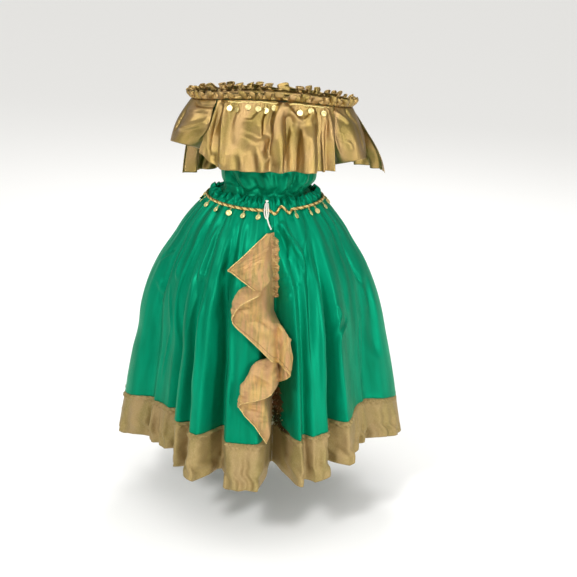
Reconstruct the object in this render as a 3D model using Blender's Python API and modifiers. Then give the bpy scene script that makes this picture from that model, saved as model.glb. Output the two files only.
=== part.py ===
"""A blouse and skirt set of green satin and gold lame, in the form it has when worn.

Metres, +Z up, the front faces -Y, left and right are as seen from the front.  The origin is the middle
of the waist, at the height of the belt braid.  Round the garment an angle of 0 degrees is the middle of
the front, 90 the right side, 180 the back and 270 (or -90) the left side.
"""

import math
from collections import namedtuple

import bmesh
import bpy
from mathutils import Vector

COLLECTION = "BlouseAndSkirt"

Level = namedtuple("Level", "z half_width front back shift")
Fold = namedtuple("Fold", "at width out")
Sweep = namedtuple("Sweep", "z mid_x mid_drop mid_lift edge_x edge_drop edge_lift")
Cuff = namedtuple("Cuff", "x y z half_width half_depth lean rise")
Bend = namedtuple("Bend", "x z lift")
Finish = namedtuple("Finish", "colour roughness metallic")

# Cloth and seams
WALL = 0.0016
GAP = 0.0003
LAYER = WALL + GAP
HEM_SEAM_GAP = 2.0 * GAP
SEAM_STRIP = 0.9
SEAM_FLAT = 3.1
SEAM_FADE = 6.0

# Heights
NECK_FRONT = 0.294
NECK_SIDE_DROP = 0.022
NECK_TILT = 0.005
NECK_BACK_DROP = 0.012
UNDERARM = 0.190
FLOUNCE_HEM = 0.104
BACK_FLOUNCE_HEM = 0.078
WAIST_HEADING_TOP = 0.026
BODICE_HEM = -0.045
SKIRT_HEM = -0.632
RUFFLE_HEM = -0.752

# Seams, as angles round the garment
FRONT_SEAM = 8.0
SIDE_SEAM = 90.0
SLEEVE_FRONT_LEFT = 42.0
SLEEVE_FRONT_RIGHT = 49.0
SLEEVE_BACK = 132.0
RAGLAN_BEND = 0.5
BACK_FLOUNCE_RIGHT = 104.0
BACK_FLOUNCE_LEFT = 249.0

# Rows and steps of the rings
SKIRT_ROWS = (0.06, 0.16, 0.29, 0.45, 0.63, 0.82, 1.0)
SKIRT_STEP = 3.0
RUFFLE_ROWS = (0.0, 0.03, 0.45, 1.0)
RUFFLE_STEP = 2.25
BODICE_ROWS = (1.0, 0.72, 0.4, 0.0)
BODICE_COLUMNS = 20
NECK_STEP = 3.0
FRONT_FLOUNCE_ROWS = (0.0, 0.22, 0.5, 0.78, 1.0)
FRONT_FLOUNCE_STEP = 2.1
BACK_FLOUNCE_ROWS = (0.0, 0.25, 0.6, 1.0)
BACK_FLOUNCE_STEP = 3.5
SLEEVE_ROWS = (0.0, 0.2, 0.45, 0.7, 0.9, 1.0)
SLEEVE_COLUMNS = 28
CASCADE_COLUMNS = 5

# Gathers, waves and puffs
GATHERS = 30
GATHER_DEPTH = 0.008
RUFFLE_WAVES = 40
RUFFLE_WAVE = 0.0045
RUFFLE_SPREAD = 0.15
NECK_HEADING = 0.030
NECK_HEADING_FLARE = 0.006
NECK_PUFFS = 40
NECK_PUFF = 0.006
NECK_GATHER = 0.0015
NECK_STAND_OFF = 0.001
SLEEVE_PUFF = 0.008
SLEEVE_FRONT_PUFF = 0.012
SLEEVE_CREASE = 0.003
SLEEVE_CREASES = 6
RAGLAN_LIFT = 0.0045
UNDERARM_EASE = 4.0
FLOUNCE_SWEEP = 0.65
FLOUNCE_EASE = 0.0007

NECK = Level(NECK_FRONT, 0.2255, 0.105, 0.105, 0.0125)

BODICE_LEVELS = (
    NECK,
    Level(0.245, 0.200, 0.112, 0.108, 0.010),
    Level(UNDERARM, 0.168, 0.114, 0.106, 0.008),
    Level(0.110, 0.139, 0.110, 0.104, 0.007),
    Level(0.055, 0.136, 0.112, 0.106, 0.010),
    Level(0.026, 0.121, 0.104, 0.100, 0.002),
    Level(0.008, 0.146, 0.122, 0.118, 0.0),
    Level(-0.012, 0.1665, 0.1385, 0.1385, 0.0),
    Level(BODICE_HEM, 0.173, 0.145, 0.145, 0.0),
)

FRONT_FLOUNCE_LEVEL = Level(FLOUNCE_HEM, 0.262, 0.158, 0.158, 0.008)
BACK_FLOUNCE_LEVEL = Level(BACK_FLOUNCE_HEM, 0.300, 0.160, 0.180, 0.040)

SKIRT_LEVELS = (
    Level(WAIST_HEADING_TOP, 0.144, 0.121, 0.121, 0.002),
    Level(0.0, 0.167, 0.140, 0.140, 0.001),
    Level(-0.040, 0.205, 0.172, 0.172, 0.0),
    Level(-0.080, 0.236, 0.198, 0.198, 0.0),
    Level(-0.120, 0.260, 0.218, 0.220, 0.0),
    Level(-0.190, 0.304, 0.253, 0.257, -0.001),
    Level(-0.270, 0.339, 0.282, 0.290, -0.001),
    Level(-0.340, 0.359, 0.302, 0.312, 0.001),
    Level(-0.420, 0.373, 0.318, 0.330, 0.005),
    Level(-0.500, 0.391, 0.330, 0.345, 0.005),
    Level(-0.580, 0.406, 0.339, 0.358, 0.006),
    Level(SKIRT_HEM, 0.414, 0.345, 0.366, 0.007),
    Level(RUFFLE_HEM, 0.436, 0.392, 0.400, 0.009),
)

# Flutes of the skirt at its hem: how far the cloth lies inside its widest outline
SKIRT_FOLDS = (
    Fold(-70.0, 8.0, -0.030),
    Fold(-56.0, 30.0, -0.070),
    Fold(-46.0, 6.0, -0.040),
    Fold(-33.5, 5.0, -0.045),
    Fold(-19.5, 6.5, -0.100),
    Fold(8.0, 9.5, -0.160),
    Fold(20.0, 3.5, -0.035),
    Fold(28.0, 20.0, -0.030),
    Fold(36.0, 6.0, -0.080),
    Fold(60.0, 30.0, -0.080),
    Fold(70.0, 7.0, -0.020),
    Fold(104.0, 9.0, -0.035),
    Fold(124.0, 9.0, -0.060),
    Fold(146.0, 10.0, -0.070),
    Fold(168.0, 9.0, -0.080),
    Fold(190.0, 10.0, -0.065),
    Fold(213.0, 9.0, -0.075),
    Fold(235.0, 9.0, -0.055),
    Fold(256.0, 9.0, -0.035),
)
FOLD_ONSET = 0.75

# The hem hangs a little higher between the front and the sides, and again at the back corners
HEM_RISES = (
    Fold(-58.0, 50.0, 0.030),
    Fold(62.0, 48.0, 0.040),
    Fold(120.0, 40.0, 0.020),
    Fold(235.0, 45.0, 0.020),
)

FRONT_FLOUNCE_FOLDS = (
    Fold(-34.0, 5.0, -0.012),
    Fold(-19.0, 7.0, -0.008),
    Fold(1.0, 4.5, -0.024),
    Fold(9.0, 4.0, 0.006),
    Fold(17.0, 5.5, -0.020),
    Fold(31.0, 4.0, -0.014),
    Fold(40.0, 4.5, -0.018),
)
BACK_FLOUNCE_FOLDS = (
    Fold(110.0, 6.0, -0.020),
    Fold(126.0, 7.0, -0.026),
    Fold(146.0, 8.0, -0.022),
    Fold(165.0, 7.0, -0.028),
    Fold(184.0, 8.0, -0.024),
    Fold(204.0, 8.0, -0.028),
    Fold(223.0, 7.0, -0.022),
    Fold(241.0, 7.0, -0.024),
)
FLOUNCE_ONSET = 1.3

CUFFS = {
    "left": Cuff(-0.226, -0.018, 0.143, 0.047, 0.050, 0.24, 0.24),
    "right": Cuff(0.240, -0.018, 0.112, 0.047, 0.050, 0.24, 0.20),
}

# The cascade ruffle: rows down the front seam, each bending over a middle point to the free edge
CASCADE = (
    Sweep(-0.066, 0.012, 0.002, 0.006, 0.008, 0.004, 0.006),
    Sweep(-0.100, -0.022, 0.010, 0.020, -0.050, 0.018, 0.012),
    Sweep(-0.132, -0.040, 0.012, 0.026, -0.092, 0.016, 0.016),
    Sweep(-0.170, -0.024, 0.010, 0.034, -0.052, 0.022, 0.028),
    Sweep(-0.208, -0.014, 0.010, 0.030, -0.028, 0.022, 0.012),
    Sweep(-0.236, -0.035, 0.010, 0.022, -0.076, 0.018, 0.008),
    Sweep(-0.272, 0.010, 0.012, 0.026, -0.086, 0.022, 0.020),
    Sweep(-0.308, 0.074, 0.012, 0.028, -0.052, 0.026, 0.040),
    Sweep(-0.344, 0.120, 0.012, 0.030, 0.000, 0.030, 0.056),
    Sweep(-0.378, 0.101, 0.012, 0.024, 0.042, 0.025, 0.070),
    Sweep(-0.422, 0.045, 0.010, 0.027, 0.008, 0.025, 0.041),
    Sweep(-0.464, 0.013, 0.012, 0.033, -0.050, 0.031, 0.010),
    Sweep(-0.510, 0.004, 0.012, 0.026, -0.056, 0.026, 0.018),
    Sweep(-0.556, 0.014, 0.012, 0.024, -0.022, 0.030, 0.020),
    Sweep(-0.598, 0.030, 0.010, 0.016, 0.016, 0.022, 0.014),
)
CASCADE_SEAM_LIFT = 0.0006
CASCADE_REACH = (0.0035, 0.031)
CASCADE_HEADING_END = 5
CASCADE_HEADING_ROWS = 24
CASCADE_HEADING_EDGES = (0.004, 0.014)
CASCADE_HEADING_LIFT = 0.0048
CASCADE_HEADING_WAVE = 0.0015

# Belt and neck braid, with their coins
BRAID_HEIGHT = 0.007
BRAID_THICKNESS = 0.0024
BRAID_LIFT = 0.0009
BRAID_STEP = 4.5
BELT_MIDDLE = 0.002
BELT_SAG = 0.008
BELT_WANDER = (Fold(9.0, 5.0, -0.008), Fold(16.0, 5.0, 0.008), Fold(22.5, 4.0, -0.008))
NECK_BRAID_THICKNESS = 0.0019
NECK_BRAID_SHARES = (0.012, 0.042)
NECK_BRAID_LIFT = 0.0006
NECK_BRAID_STEP = 3.5
COIN_RADIUS = 0.008
COIN_THICKNESS = 0.0012
COIN_SIDES = 9
LINK_WIDTH = 0.003
WAIST_LINK = 0.010
WAIST_COIN_LIFT = 0.0016
WAIST_COIN_ANGLES = (-78.0, -64.0, -47.0, -32.0, -18.0, -4.6, 28.0, 44.0, 53.5, 72.0)
BACK_COIN_FIRST = 92.0
BACK_COIN_LAST = 268.0
BACK_COIN_COUNT = 13
NECK_LINKS = (0.003, 0.007, 0.011)
NECK_COIN_ANGLES = (-29.0, -23.0, -16.0, -9.0, -4.0, 1.5, 12.0, 19.0, 27.0, 37.0)
NECK_COIN_SHARES = (0.042, 0.15)
NECK_COIN_LIFTS = (0.0016, 0.0026)

# The tie at the centre front
CORD_RADIUS = 0.0016
KNOT_PLACE = Bend(0.0065, 0.0165, 0.0052)
KNOT_SIZE = Vector((0.0065, 0.0045, 0.0055))
TIP_SIZE = Vector((0.0030, 0.0026, 0.0030))
TIE_LOOP = (
    Bend(0.0035, 0.0106, 0.0026),
    Bend(0.0015, 0.002, 0.0070),
    Bend(0.0005, -0.010, 0.0072),
    Bend(0.0040, -0.022, 0.0068),
    Bend(0.0090, -0.024, 0.0068),
    Bend(0.0115, -0.012, 0.0070),
    Bend(0.0110, 0.000, 0.0070),
    Bend(0.0095, 0.0106, 0.0026),
)
TIE_LOOP_POINTS = 22
TIE_TAIL = (
    Bend(0.0065, 0.0120, 0.0054),
    Bend(0.0065, 0.004, 0.0112),
    Bend(0.0060, -0.006, 0.0122),
    Bend(0.0085, -0.020, 0.0116),
    Bend(0.0125, -0.034, 0.0098),
    Bend(0.0185, -0.046, 0.0082),
)
TIE_TAIL_POINTS = 12

GREEN_SATIN = Finish((0.0, 0.27, 0.14, 1.0), 0.35, 0.0)
GOLD_LAME = Finish((0.38, 0.28, 0.12, 1.0), 0.38, 0.7)
BRASS = Finish((0.80, 0.68, 0.30, 1.0), 0.3, 0.9)
WHITE_CORD = Finish((0.85, 0.84, 0.78, 1.0), 0.8, 0.0)


def start_scene():
    """Empty the scene and give the parts their collection."""
    for old in list(bpy.data.objects):
        bpy.data.objects.remove(old, do_unlink=True)
    parts = bpy.data.collections.new(COLLECTION)
    bpy.context.scene.collection.children.link(parts)
    return parts


def dress(mesh, finish):
    """Give a piece its own plain material."""
    material = bpy.data.materials.new(mesh.name)
    material.use_nodes = True
    shader = material.node_tree.nodes["Principled BSDF"]
    shader.inputs["Base Color"].default_value = finish.colour
    shader.inputs["Roughness"].default_value = finish.roughness
    shader.inputs["Metallic"].default_value = finish.metallic
    mesh.materials.append(material)


def smooth(value):
    """Ease from 0 to 1."""
    value = min(max(value, 0.0), 1.0)
    return value * value * (3.0 - 2.0 * value)


def turned_away(degrees, other):
    """The angle between two places round the garment, from 0 to 180."""
    return abs((degrees - other + 180.0) % 360.0 - 180.0)


def swell(folds, degrees):
    """The sum of a table of folds at an angle, each a smooth bell."""
    total = 0.0
    for fold in folds:
        away = turned_away(degrees, fold.at) / fold.width
        if away < 1.0:
            total += fold.out * math.cos(0.5 * math.pi * away) ** 2
    return total


def between(before, top, low, after, t):
    """A smooth value between top and low, with its neighbours on even spacing."""
    bend = 2 * before - 5 * top + 4 * low - after + t * (3 * top - before - 3 * low + after)
    return top + 0.5 * t * (low - before + t * bend)


def level_at(levels, z):
    """The section at a height, on smooth curves through the rows of a table."""
    spans = list(zip(levels, levels[1:]))
    place = next((i for i, (top, low) in enumerate(spans) if z >= low.z), len(spans) - 1)
    top, low = spans[place]
    before = levels[max(place - 1, 0)]
    after = levels[min(place + 2, len(levels) - 1)]
    height = low.z - top.z
    t = (z - top.z) / height
    values = [z]
    for a, b, c, d in list(zip(before, top, low, after))[1:]:
        rise_in = (c - a) / (low.z - before.z) * height
        rise_out = (d - b) / (after.z - top.z) * height
        start = (2 * t ** 3 - 3 * t ** 2 + 1) * b + (t ** 3 - 2 * t ** 2 + t) * rise_in
        end = (3 * t ** 2 - 2 * t ** 3) * c + (t ** 3 - t ** 2) * rise_out
        values.append(start + end)
    return Level(*values)


def ring_point(level, degrees, out=0.0, z=None):
    """A point of a section, moved out from its outline."""
    angle = math.radians(degrees)
    depth = level.front if math.cos(angle) > 0.0 else level.back
    return Vector((level.shift + (level.half_width + out) * math.sin(angle),
                   -(depth + out) * math.cos(angle),
                   level.z if z is None else z))


def clear_of_seams(degrees, flat=SEAM_FLAT, fade=SEAM_FADE):
    """0 on the flat cloth beside a seam of the skirt, 1 away from it."""
    nearest = min(turned_away(degrees, seam) for seam in (FRONT_SEAM, SIDE_SEAM, -SIDE_SEAM))
    return smooth((nearest - flat) / fade)


def steps(first, last, step, edge=0.0):
    """Angles from first to last, near the step given, with a narrow strip at each end for a seam."""
    count = max(1, round((last - first) / step))
    angles = [first + (last - first) * i / count for i in range(count + 1)]
    if edge > 0.0:
        angles = angles[:1] + [first + edge] + angles[1:-1] + [last - edge] + angles[-1:]
    return angles


def ends_parted(angles, radius):
    """The same angles with each end drawn in by half of a seam's gap."""
    half = math.degrees(0.5 * GAP / radius)
    return [angles[0] + half] + list(angles[1:-1]) + [angles[-1] - half]


def add_cloth(parts, name, rows, finish, closed=False, thickness=WALL, offset=-1.0):
    """A wall of cloth through rows of points that run top to bottom and towards growing angles."""
    mesh = bpy.data.meshes.new(name)
    shape = bmesh.new()
    grid = [[shape.verts.new(point) for point in row] for row in rows]
    width = len(grid[0])
    for upper, lower in zip(grid, grid[1:]):
        for i in range(width if closed else width - 1):
            j = (i + 1) % width
            shape.faces.new((upper[i], lower[i], lower[j], upper[j]))
    shape.to_mesh(mesh)
    shape.free()
    mesh.shade_smooth()
    dress(mesh, finish)
    piece = bpy.data.objects.new(name, mesh)
    parts.objects.link(piece)
    wall = piece.modifiers.new("Cloth", "SOLIDIFY")
    wall.thickness = thickness
    wall.offset = offset
    wall.thickness_clamp = 1.0
    return piece


def neck_height(degrees):
    """The neckline is highest at the front and dips over the arms."""
    angle = math.radians(degrees)
    drop = NECK_SIDE_DROP * math.sin(angle) ** 2 + NECK_TILT * math.sin(angle)
    return NECK_FRONT - drop - NECK_BACK_DROP * max(-math.cos(angle), 0.0) ** 2


def raglan_angle(neck_angle, share):
    """The angle of the raglan edge, share 0 at the underarm and 1 at the neckline."""
    return SIDE_SEAM + (neck_angle - SIDE_SEAM) * share ** RAGLAN_BEND


def raglan_level(share):
    """The bodice's section between the underarm and the neckline."""
    return level_at(BODICE_LEVELS, UNDERARM + (NECK_FRONT - UNDERARM) * share)


def bodice_angles(panel, left, right):
    """Angles across the front or the back of the bodice, between its two edges."""
    first, last = (-left, right) if panel == "bodice_front" else (right, 360.0 - left)
    return steps(first, last, (last - first) / BODICE_COLUMNS, SEAM_STRIP)


def raglan_row(panel, left, right, share):
    """One row of the bodice above the underarm, where it is cut away for the sleeves."""
    level = raglan_level(share)
    radius = level.front if share > 0.0 else level.front / UNDERARM_EASE
    angles = bodice_angles(panel, raglan_angle(left, share), raglan_angle(right, share))
    row = []
    for a in ends_parted(angles, radius):
        z = UNDERARM + (neck_height(a) - GAP - UNDERARM) * share
        row.append(ring_point(level, a, z=z))
    return row


def build_bodice(parts):
    """Front and back of the bodice, down to the tail that is tucked into the skirt."""
    panels = (("bodice_front", SLEEVE_FRONT_LEFT, SLEEVE_FRONT_RIGHT),
              ("bodice_back", SLEEVE_BACK, SLEEVE_BACK))
    below_underarm = BODICE_LEVELS[3:]
    for name, left, right in panels:
        rows = [raglan_row(name, left, right, share) for share in BODICE_ROWS]
        for level in below_underarm:
            angles = ends_parted(bodice_angles(name, SIDE_SEAM, SIDE_SEAM), level.front)
            rows.append([ring_point(level, a) for a in angles])
        add_cloth(parts, name, rows, GREEN_SATIN)


def build_neck_heading(parts):
    """The gathered heading that stands above the elastic of the neckline, all round."""
    angles = [NECK_STEP * i for i in range(round(360.0 / NECK_STEP))]
    rows = []
    for rise, flare, wave in ((NECK_HEADING, NECK_HEADING_FLARE, NECK_PUFF), (0.0, 0.0, NECK_GATHER)):
        row = []
        for a in angles:
            out = NECK_STAND_OFF + WALL + flare + wave * math.cos(math.radians(a * NECK_PUFFS))
            row.append(ring_point(NECK, a, out, neck_height(a) + GAP + rise))
        rows.append(row)
    add_cloth(parts, "neck_heading", rows, GOLD_LAME, closed=True)


def flounce_point(degrees, share, folds, hem, out=0.0):
    """A point of a flounce, share 0 at the neckline and 1 at its hem."""
    top = neck_height(degrees) - GAP
    sweep = (1.0 - FLOUNCE_SWEEP) * share + FLOUNCE_SWEEP * math.sin(0.5 * math.pi * share)
    section = Level(*(a + (b - a) * sweep for a, b in zip(NECK, hem)))
    fold = swell(folds, degrees) * smooth(share * FLOUNCE_ONSET)
    z = top + (hem.z - top) * share
    return ring_point(section, degrees, WALL + LAYER + FLOUNCE_EASE + fold + out, z)


def build_flounces(parts):
    """The flounce over the chest, between the sleeves, and the one over the back."""
    front = steps(1.0 - SLEEVE_FRONT_LEFT, SLEEVE_FRONT_RIGHT - 1.0, FRONT_FLOUNCE_STEP)
    back = steps(BACK_FLOUNCE_RIGHT, BACK_FLOUNCE_LEFT, BACK_FLOUNCE_STEP)
    flounces = (
        ("flounce_front", front, FRONT_FLOUNCE_ROWS, FRONT_FLOUNCE_FOLDS, FRONT_FLOUNCE_LEVEL),
        ("flounce_back", back, BACK_FLOUNCE_ROWS, BACK_FLOUNCE_FOLDS, BACK_FLOUNCE_LEVEL),
    )
    for name, angles, shares, folds, hem in flounces:
        rows = [[flounce_point(a, share, folds, hem) for a in angles] for share in shares]
        add_cloth(parts, name, rows, GOLD_LAME)


def sleeve_top(side, turn):
    """The sleeve's upper edge: over the arm along the neckline, under it along the raglan edges."""
    sign, front = (-1, SLEEVE_FRONT_LEFT) if side == "left" else (1, SLEEVE_FRONT_RIGHT)
    if abs(turn) <= 90.0:
        degrees = 0.5 * (SLEEVE_BACK + front) + 0.5 * (SLEEVE_BACK - front) * turn / 90.0
        return ring_point(NECK, sign * degrees, WALL, neck_height(sign * degrees) - GAP)
    share = 2.0 - abs(turn) / 90.0
    degrees = sign * raglan_angle(SLEEVE_BACK if turn > 0.0 else front, share)
    z = UNDERARM + (neck_height(degrees) - GAP - UNDERARM) * share
    return ring_point(raglan_level(share), degrees, RAGLAN_LIFT, z)


def sleeve_point(side, turn, share):
    """A point of a sleeve, turn 0 outside the arm and -90 in front, share 1 at the cuff."""
    cuff = CUFFS[side]
    sign = -1 if side == "left" else 1
    angle = math.radians(turn)
    across = math.cos(angle) * cuff.half_width
    along = math.sin(angle) * cuff.half_depth
    height = cuff.z + cuff.lean * across - cuff.rise * along
    point = sleeve_top(side, turn).lerp(Vector((cuff.x + sign * across, cuff.y + along, height)), share)
    swing = math.sin(math.pi * share)
    crease = SLEEVE_CREASE * math.cos(SLEEVE_CREASES * angle) * swing
    point.x += sign * (SLEEVE_PUFF * swing + crease) * max(math.cos(angle), 0.0)
    point.y -= (SLEEVE_FRONT_PUFF * swing + crease) * max(-math.sin(angle), 0.0)
    return point


def build_sleeves(parts):
    """Two short raglan sleeves, open at both ends."""
    turns = [360.0 * i / SLEEVE_COLUMNS - 180.0 for i in range(SLEEVE_COLUMNS)]
    for side, ordered in (("left", turns[::-1]), ("right", turns)):
        rows = [[sleeve_point(side, turn, share) for turn in ordered] for share in SLEEVE_ROWS]
        add_cloth(parts, "sleeve_" + side, rows, GOLD_LAME, closed=True)


def skirt_out(degrees, z):
    """How far the skirt's cloth lies inside its outline: gathers at the top, flutes at the hem."""
    share = min(max(z / SKIRT_HEM, 0.0), 1.0)
    wave = 0.5 - 0.5 * math.cos(math.radians((degrees - FRONT_SEAM) * GATHERS))
    gathers = GATHER_DEPTH * (1.0 - share) ** 4 * wave * clear_of_seams(degrees)
    return swell(SKIRT_FOLDS, degrees) * smooth(share) ** FOLD_ONSET - gathers


def skirt_point(degrees, z, out=0.0):
    """A point on the outside of the skirt, before its hem is lifted."""
    return ring_point(level_at(SKIRT_LEVELS, z), degrees, skirt_out(degrees, z) + out)


def skirt_row(angles, z):
    """One row of the skirt's cloth, its hem lifted where it hangs higher."""
    share = min(max(z / SKIRT_HEM, 0.0), 1.0)
    row = []
    for degrees in angles:
        point = skirt_point(degrees, z)
        point.z = z + swell(HEM_RISES, degrees) * share ** 2
        row.append(point)
    return row


def skirt_front_depth(x, z):
    """The depth of the skirt's front at a place across it."""
    level = level_at(SKIRT_LEVELS, z)
    degrees = 0.0
    for _ in range(12):
        reach = level.half_width + skirt_out(degrees, z)
        degrees = math.degrees(math.asin(min(max((x - level.shift) / reach, -0.9), 0.9)))
    return skirt_point(degrees, z).y


def ruffle_point(degrees, share):
    """A point on the hem ruffle, share 0 at its seam and 1 at its own hem."""
    z = SKIRT_HEM - HEM_SEAM_GAP + (RUFFLE_HEM - SKIRT_HEM) * share
    flutes = swell(SKIRT_FOLDS, degrees) * (1.0 + RUFFLE_SPREAD * share ** 2)
    wave = RUFFLE_WAVE * math.sqrt(share) * math.cos(math.radians(degrees * RUFFLE_WAVES))
    out = flutes + wave * clear_of_seams(degrees, 0.65 * SEAM_FLAT, 0.5 * SEAM_FADE)
    return ring_point(level_at(SKIRT_LEVELS, z), degrees, out, z + swell(HEM_RISES, degrees))


def build_skirt(parts):
    """Three panels, gathered at the waist under a heading, each with its length of hem ruffle."""
    heights = [WAIST_HEADING_TOP, 0.5 * WAIST_HEADING_TOP, 0.0]
    heights += [SKIRT_HEM * share for share in SKIRT_ROWS]
    hem_radius = level_at(SKIRT_LEVELS, SKIRT_HEM).front
    panels = (("front_left", -SIDE_SEAM, FRONT_SEAM),
              ("front_right", FRONT_SEAM, SIDE_SEAM),
              ("back", SIDE_SEAM, 360.0 - SIDE_SEAM))
    for name, first, last in panels:
        angles = steps(first, last, SKIRT_STEP, SEAM_STRIP)
        rows = [skirt_row(ends_parted(angles, level_at(SKIRT_LEVELS, z).front), z) for z in heights]
        add_cloth(parts, "skirt_" + name, rows, GREEN_SATIN)
        angles = ends_parted(steps(first, last, RUFFLE_STEP, SEAM_STRIP), hem_radius)
        rows = [[ruffle_point(a, share) for a in angles] for share in RUFFLE_ROWS]
        add_cloth(parts, "hem_ruffle_" + name, rows, GOLD_LAME)


def sweep_at(place):
    """A row of the cascade between the rows of its table."""
    low = min(int(place), len(CASCADE) - 2)
    before = CASCADE[max(low - 1, 0)]
    after = CASCADE[min(low + 2, len(CASCADE) - 1)]
    rows = zip(before, CASCADE[low], CASCADE[low + 1], after)
    return Sweep(*(between(a, b, c, d, place - low) for a, b, c, d in rows))


def cascade_point(sweep, share):
    """A point of the cascade, share 0 at the seam and 1 at the free edge."""
    stay, pull, go = (1.0 - share) ** 2, 2.0 * share * (1.0 - share), share ** 2
    x = stay * skirt_point(FRONT_SEAM, sweep.z).x + pull * sweep.mid_x + go * sweep.edge_x
    z = sweep.z - pull * sweep.mid_drop - go * sweep.edge_drop
    lift = stay * CASCADE_SEAM_LIFT + pull * sweep.mid_lift + go * sweep.edge_lift
    reach = CASCADE_REACH[0] + CASCADE_REACH[1] * smooth(3.0 * share)
    crest = min(skirt_front_depth(x + reach * k / 3, z) for k in range(-3, 4))
    return Vector((x, crest - lift - WALL, z))


def build_cascade(parts):
    """The ruffle of the front seam, which swings to and fro as it falls, and its small heading."""
    shares = [1.0 - k / CASCADE_COLUMNS for k in range(CASCADE_COLUMNS + 1)]
    sweeps = [sweep_at(0.5 * i) for i in range(2 * len(CASCADE) - 1)]
    rows = [[cascade_point(sweep, share) for share in shares] for sweep in sweeps]
    add_cloth(parts, "cascade_ruffle", rows, GOLD_LAME)
    top, low = CASCADE[0].z, CASCADE[CASCADE_HEADING_END].z
    heading = []
    for i in range(CASCADE_HEADING_ROWS + 1):
        z = top + (low - top) * i / CASCADE_HEADING_ROWS
        lift = CASCADE_HEADING_LIFT + CASCADE_HEADING_WAVE * (1.0 + math.cos(math.pi * i))
        radius = level_at(SKIRT_LEVELS, z).front
        angles = [FRONT_SEAM + math.degrees(away / radius) for away in CASCADE_HEADING_EDGES]
        heading.append([skirt_point(a, z, lift) for a in angles])
    add_cloth(parts, "cascade_heading", heading, GOLD_LAME)


def belt_height(degrees):
    """The belt braid hangs loosely: it dips at the front and wanders right of the tie."""
    sag = BELT_SAG * max(math.cos(math.radians(degrees)), 0.0) ** 2
    return BELT_MIDDLE - sag + swell(BELT_WANDER, degrees)


def build_belt(parts):
    """The braid round the top of the skirt, and the coins that hang from it."""
    angles = [FRONT_SEAM + BRAID_STEP * i for i in range(round(360.0 / BRAID_STEP))]
    rows = []
    for rise in (0.5 * BRAID_HEIGHT, -0.5 * BRAID_HEIGHT):
        levels = [level_at(SKIRT_LEVELS, belt_height(a) + rise) for a in angles]
        rows.append([ring_point(level, a, BRAID_LIFT) for level, a in zip(levels, angles)])
    add_cloth(parts, "waist_braid", rows, BRASS, closed=True, thickness=BRAID_THICKNESS, offset=1.0)
    spread = (BACK_COIN_LAST - BACK_COIN_FIRST) / (BACK_COIN_COUNT - 1)
    back = [BACK_COIN_FIRST + spread * i for i in range(BACK_COIN_COUNT)]
    for number, a in enumerate([*WAIST_COIN_ANGLES, *back], 1):
        top = belt_height(a) - 0.5 * BRAID_HEIGHT
        low = top - WAIST_LINK - 2.0 * COIN_RADIUS
        hang, fall = (ring_point(level_at(SKIRT_LEVELS, z), a, WAIST_COIN_LIFT) for z in (top, low))
        add_coin(parts, "waist_coin_%02d" % number, hang, fall, a, WAIST_LINK)


def build_neck_trim(parts):
    """The braid along the front neckline, and its coins."""
    first, last = -SLEEVE_FRONT_LEFT + 4.0, SLEEVE_FRONT_RIGHT - 5.0
    rows = []
    for share in NECK_BRAID_SHARES:
        angles = steps(first, last, NECK_BRAID_STEP)
        rows.append([flounce_point(a, share, (), FRONT_FLOUNCE_LEVEL, NECK_BRAID_LIFT) for a in angles])
    add_cloth(parts, "neck_braid", rows, BRASS, thickness=NECK_BRAID_THICKNESS, offset=1.0)
    for number, a in enumerate(NECK_COIN_ANGLES, 1):
        places = zip(NECK_COIN_SHARES, NECK_COIN_LIFTS)
        hang, fall = (flounce_point(a, share, (), FRONT_FLOUNCE_LEVEL, lift) for share, lift in places)
        link = NECK_LINKS[number % len(NECK_LINKS)]
        add_coin(parts, "neck_coin_%02d" % number, hang, fall, a, link)


def add_coin(parts, name, hang, fall, degrees, link):
    """A thin coin on a link, hanging from one point towards another."""
    down = (fall - hang).normalized()
    round_about = Vector((math.cos(math.radians(degrees)), math.sin(math.radians(degrees)), 0.0))
    out = down.cross(round_about).normalized()
    side = out.cross(down).normalized()
    centre = link + COIN_RADIUS
    outline = [(-0.5 * LINK_WIDTH, 0.0), (0.5 * LINK_WIDTH, 0.0)]
    turn = 360.0 / COIN_SIDES
    for i in range(COIN_SIDES):
        angle = math.radians(turn * (i + 0.25) - 80.0)
        outline.append((COIN_RADIUS * math.cos(angle), centre + COIN_RADIUS * math.sin(angle)))
    start = hang + down * GAP + out * COIN_THICKNESS
    mesh = bpy.data.meshes.new(name)
    shape = bmesh.new()
    face = shape.faces.new([shape.verts.new(start + side * x + down * y) for x, y in outline])
    face.normal_update()
    if face.normal.dot(out) < 0.0:
        face.normal_flip()
    shape.to_mesh(mesh)
    shape.free()
    dress(mesh, BRASS)
    coin = bpy.data.objects.new(name, mesh)
    parts.objects.link(coin)
    wall = coin.modifiers.new("Coin", "SOLIDIFY")
    wall.thickness = COIN_THICKNESS
    wall.offset = -1.0


def on_skirt(bend):
    """A point of the tie, in front of the skirt's outline."""
    level = level_at(SKIRT_LEVELS, bend.z)
    reach = math.sqrt(1.0 - ((bend.x - level.shift) / level.half_width) ** 2)
    return Vector((bend.x, -level.front * reach - bend.lift, bend.z))


def curve_points(bends, count):
    """Even samples of a smooth curve through a short list of bends."""
    points = [on_skirt(bend) for bend in bends]
    samples = []
    for k in range(count):
        place = (len(points) - 1) * k / (count - 1)
        low = min(int(place), len(points) - 2)
        before = points[max(low - 1, 0)]
        after = points[min(low + 2, len(points) - 1)]
        samples.append(between(before, points[low], points[low + 1], after, place - low))
    return samples


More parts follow.
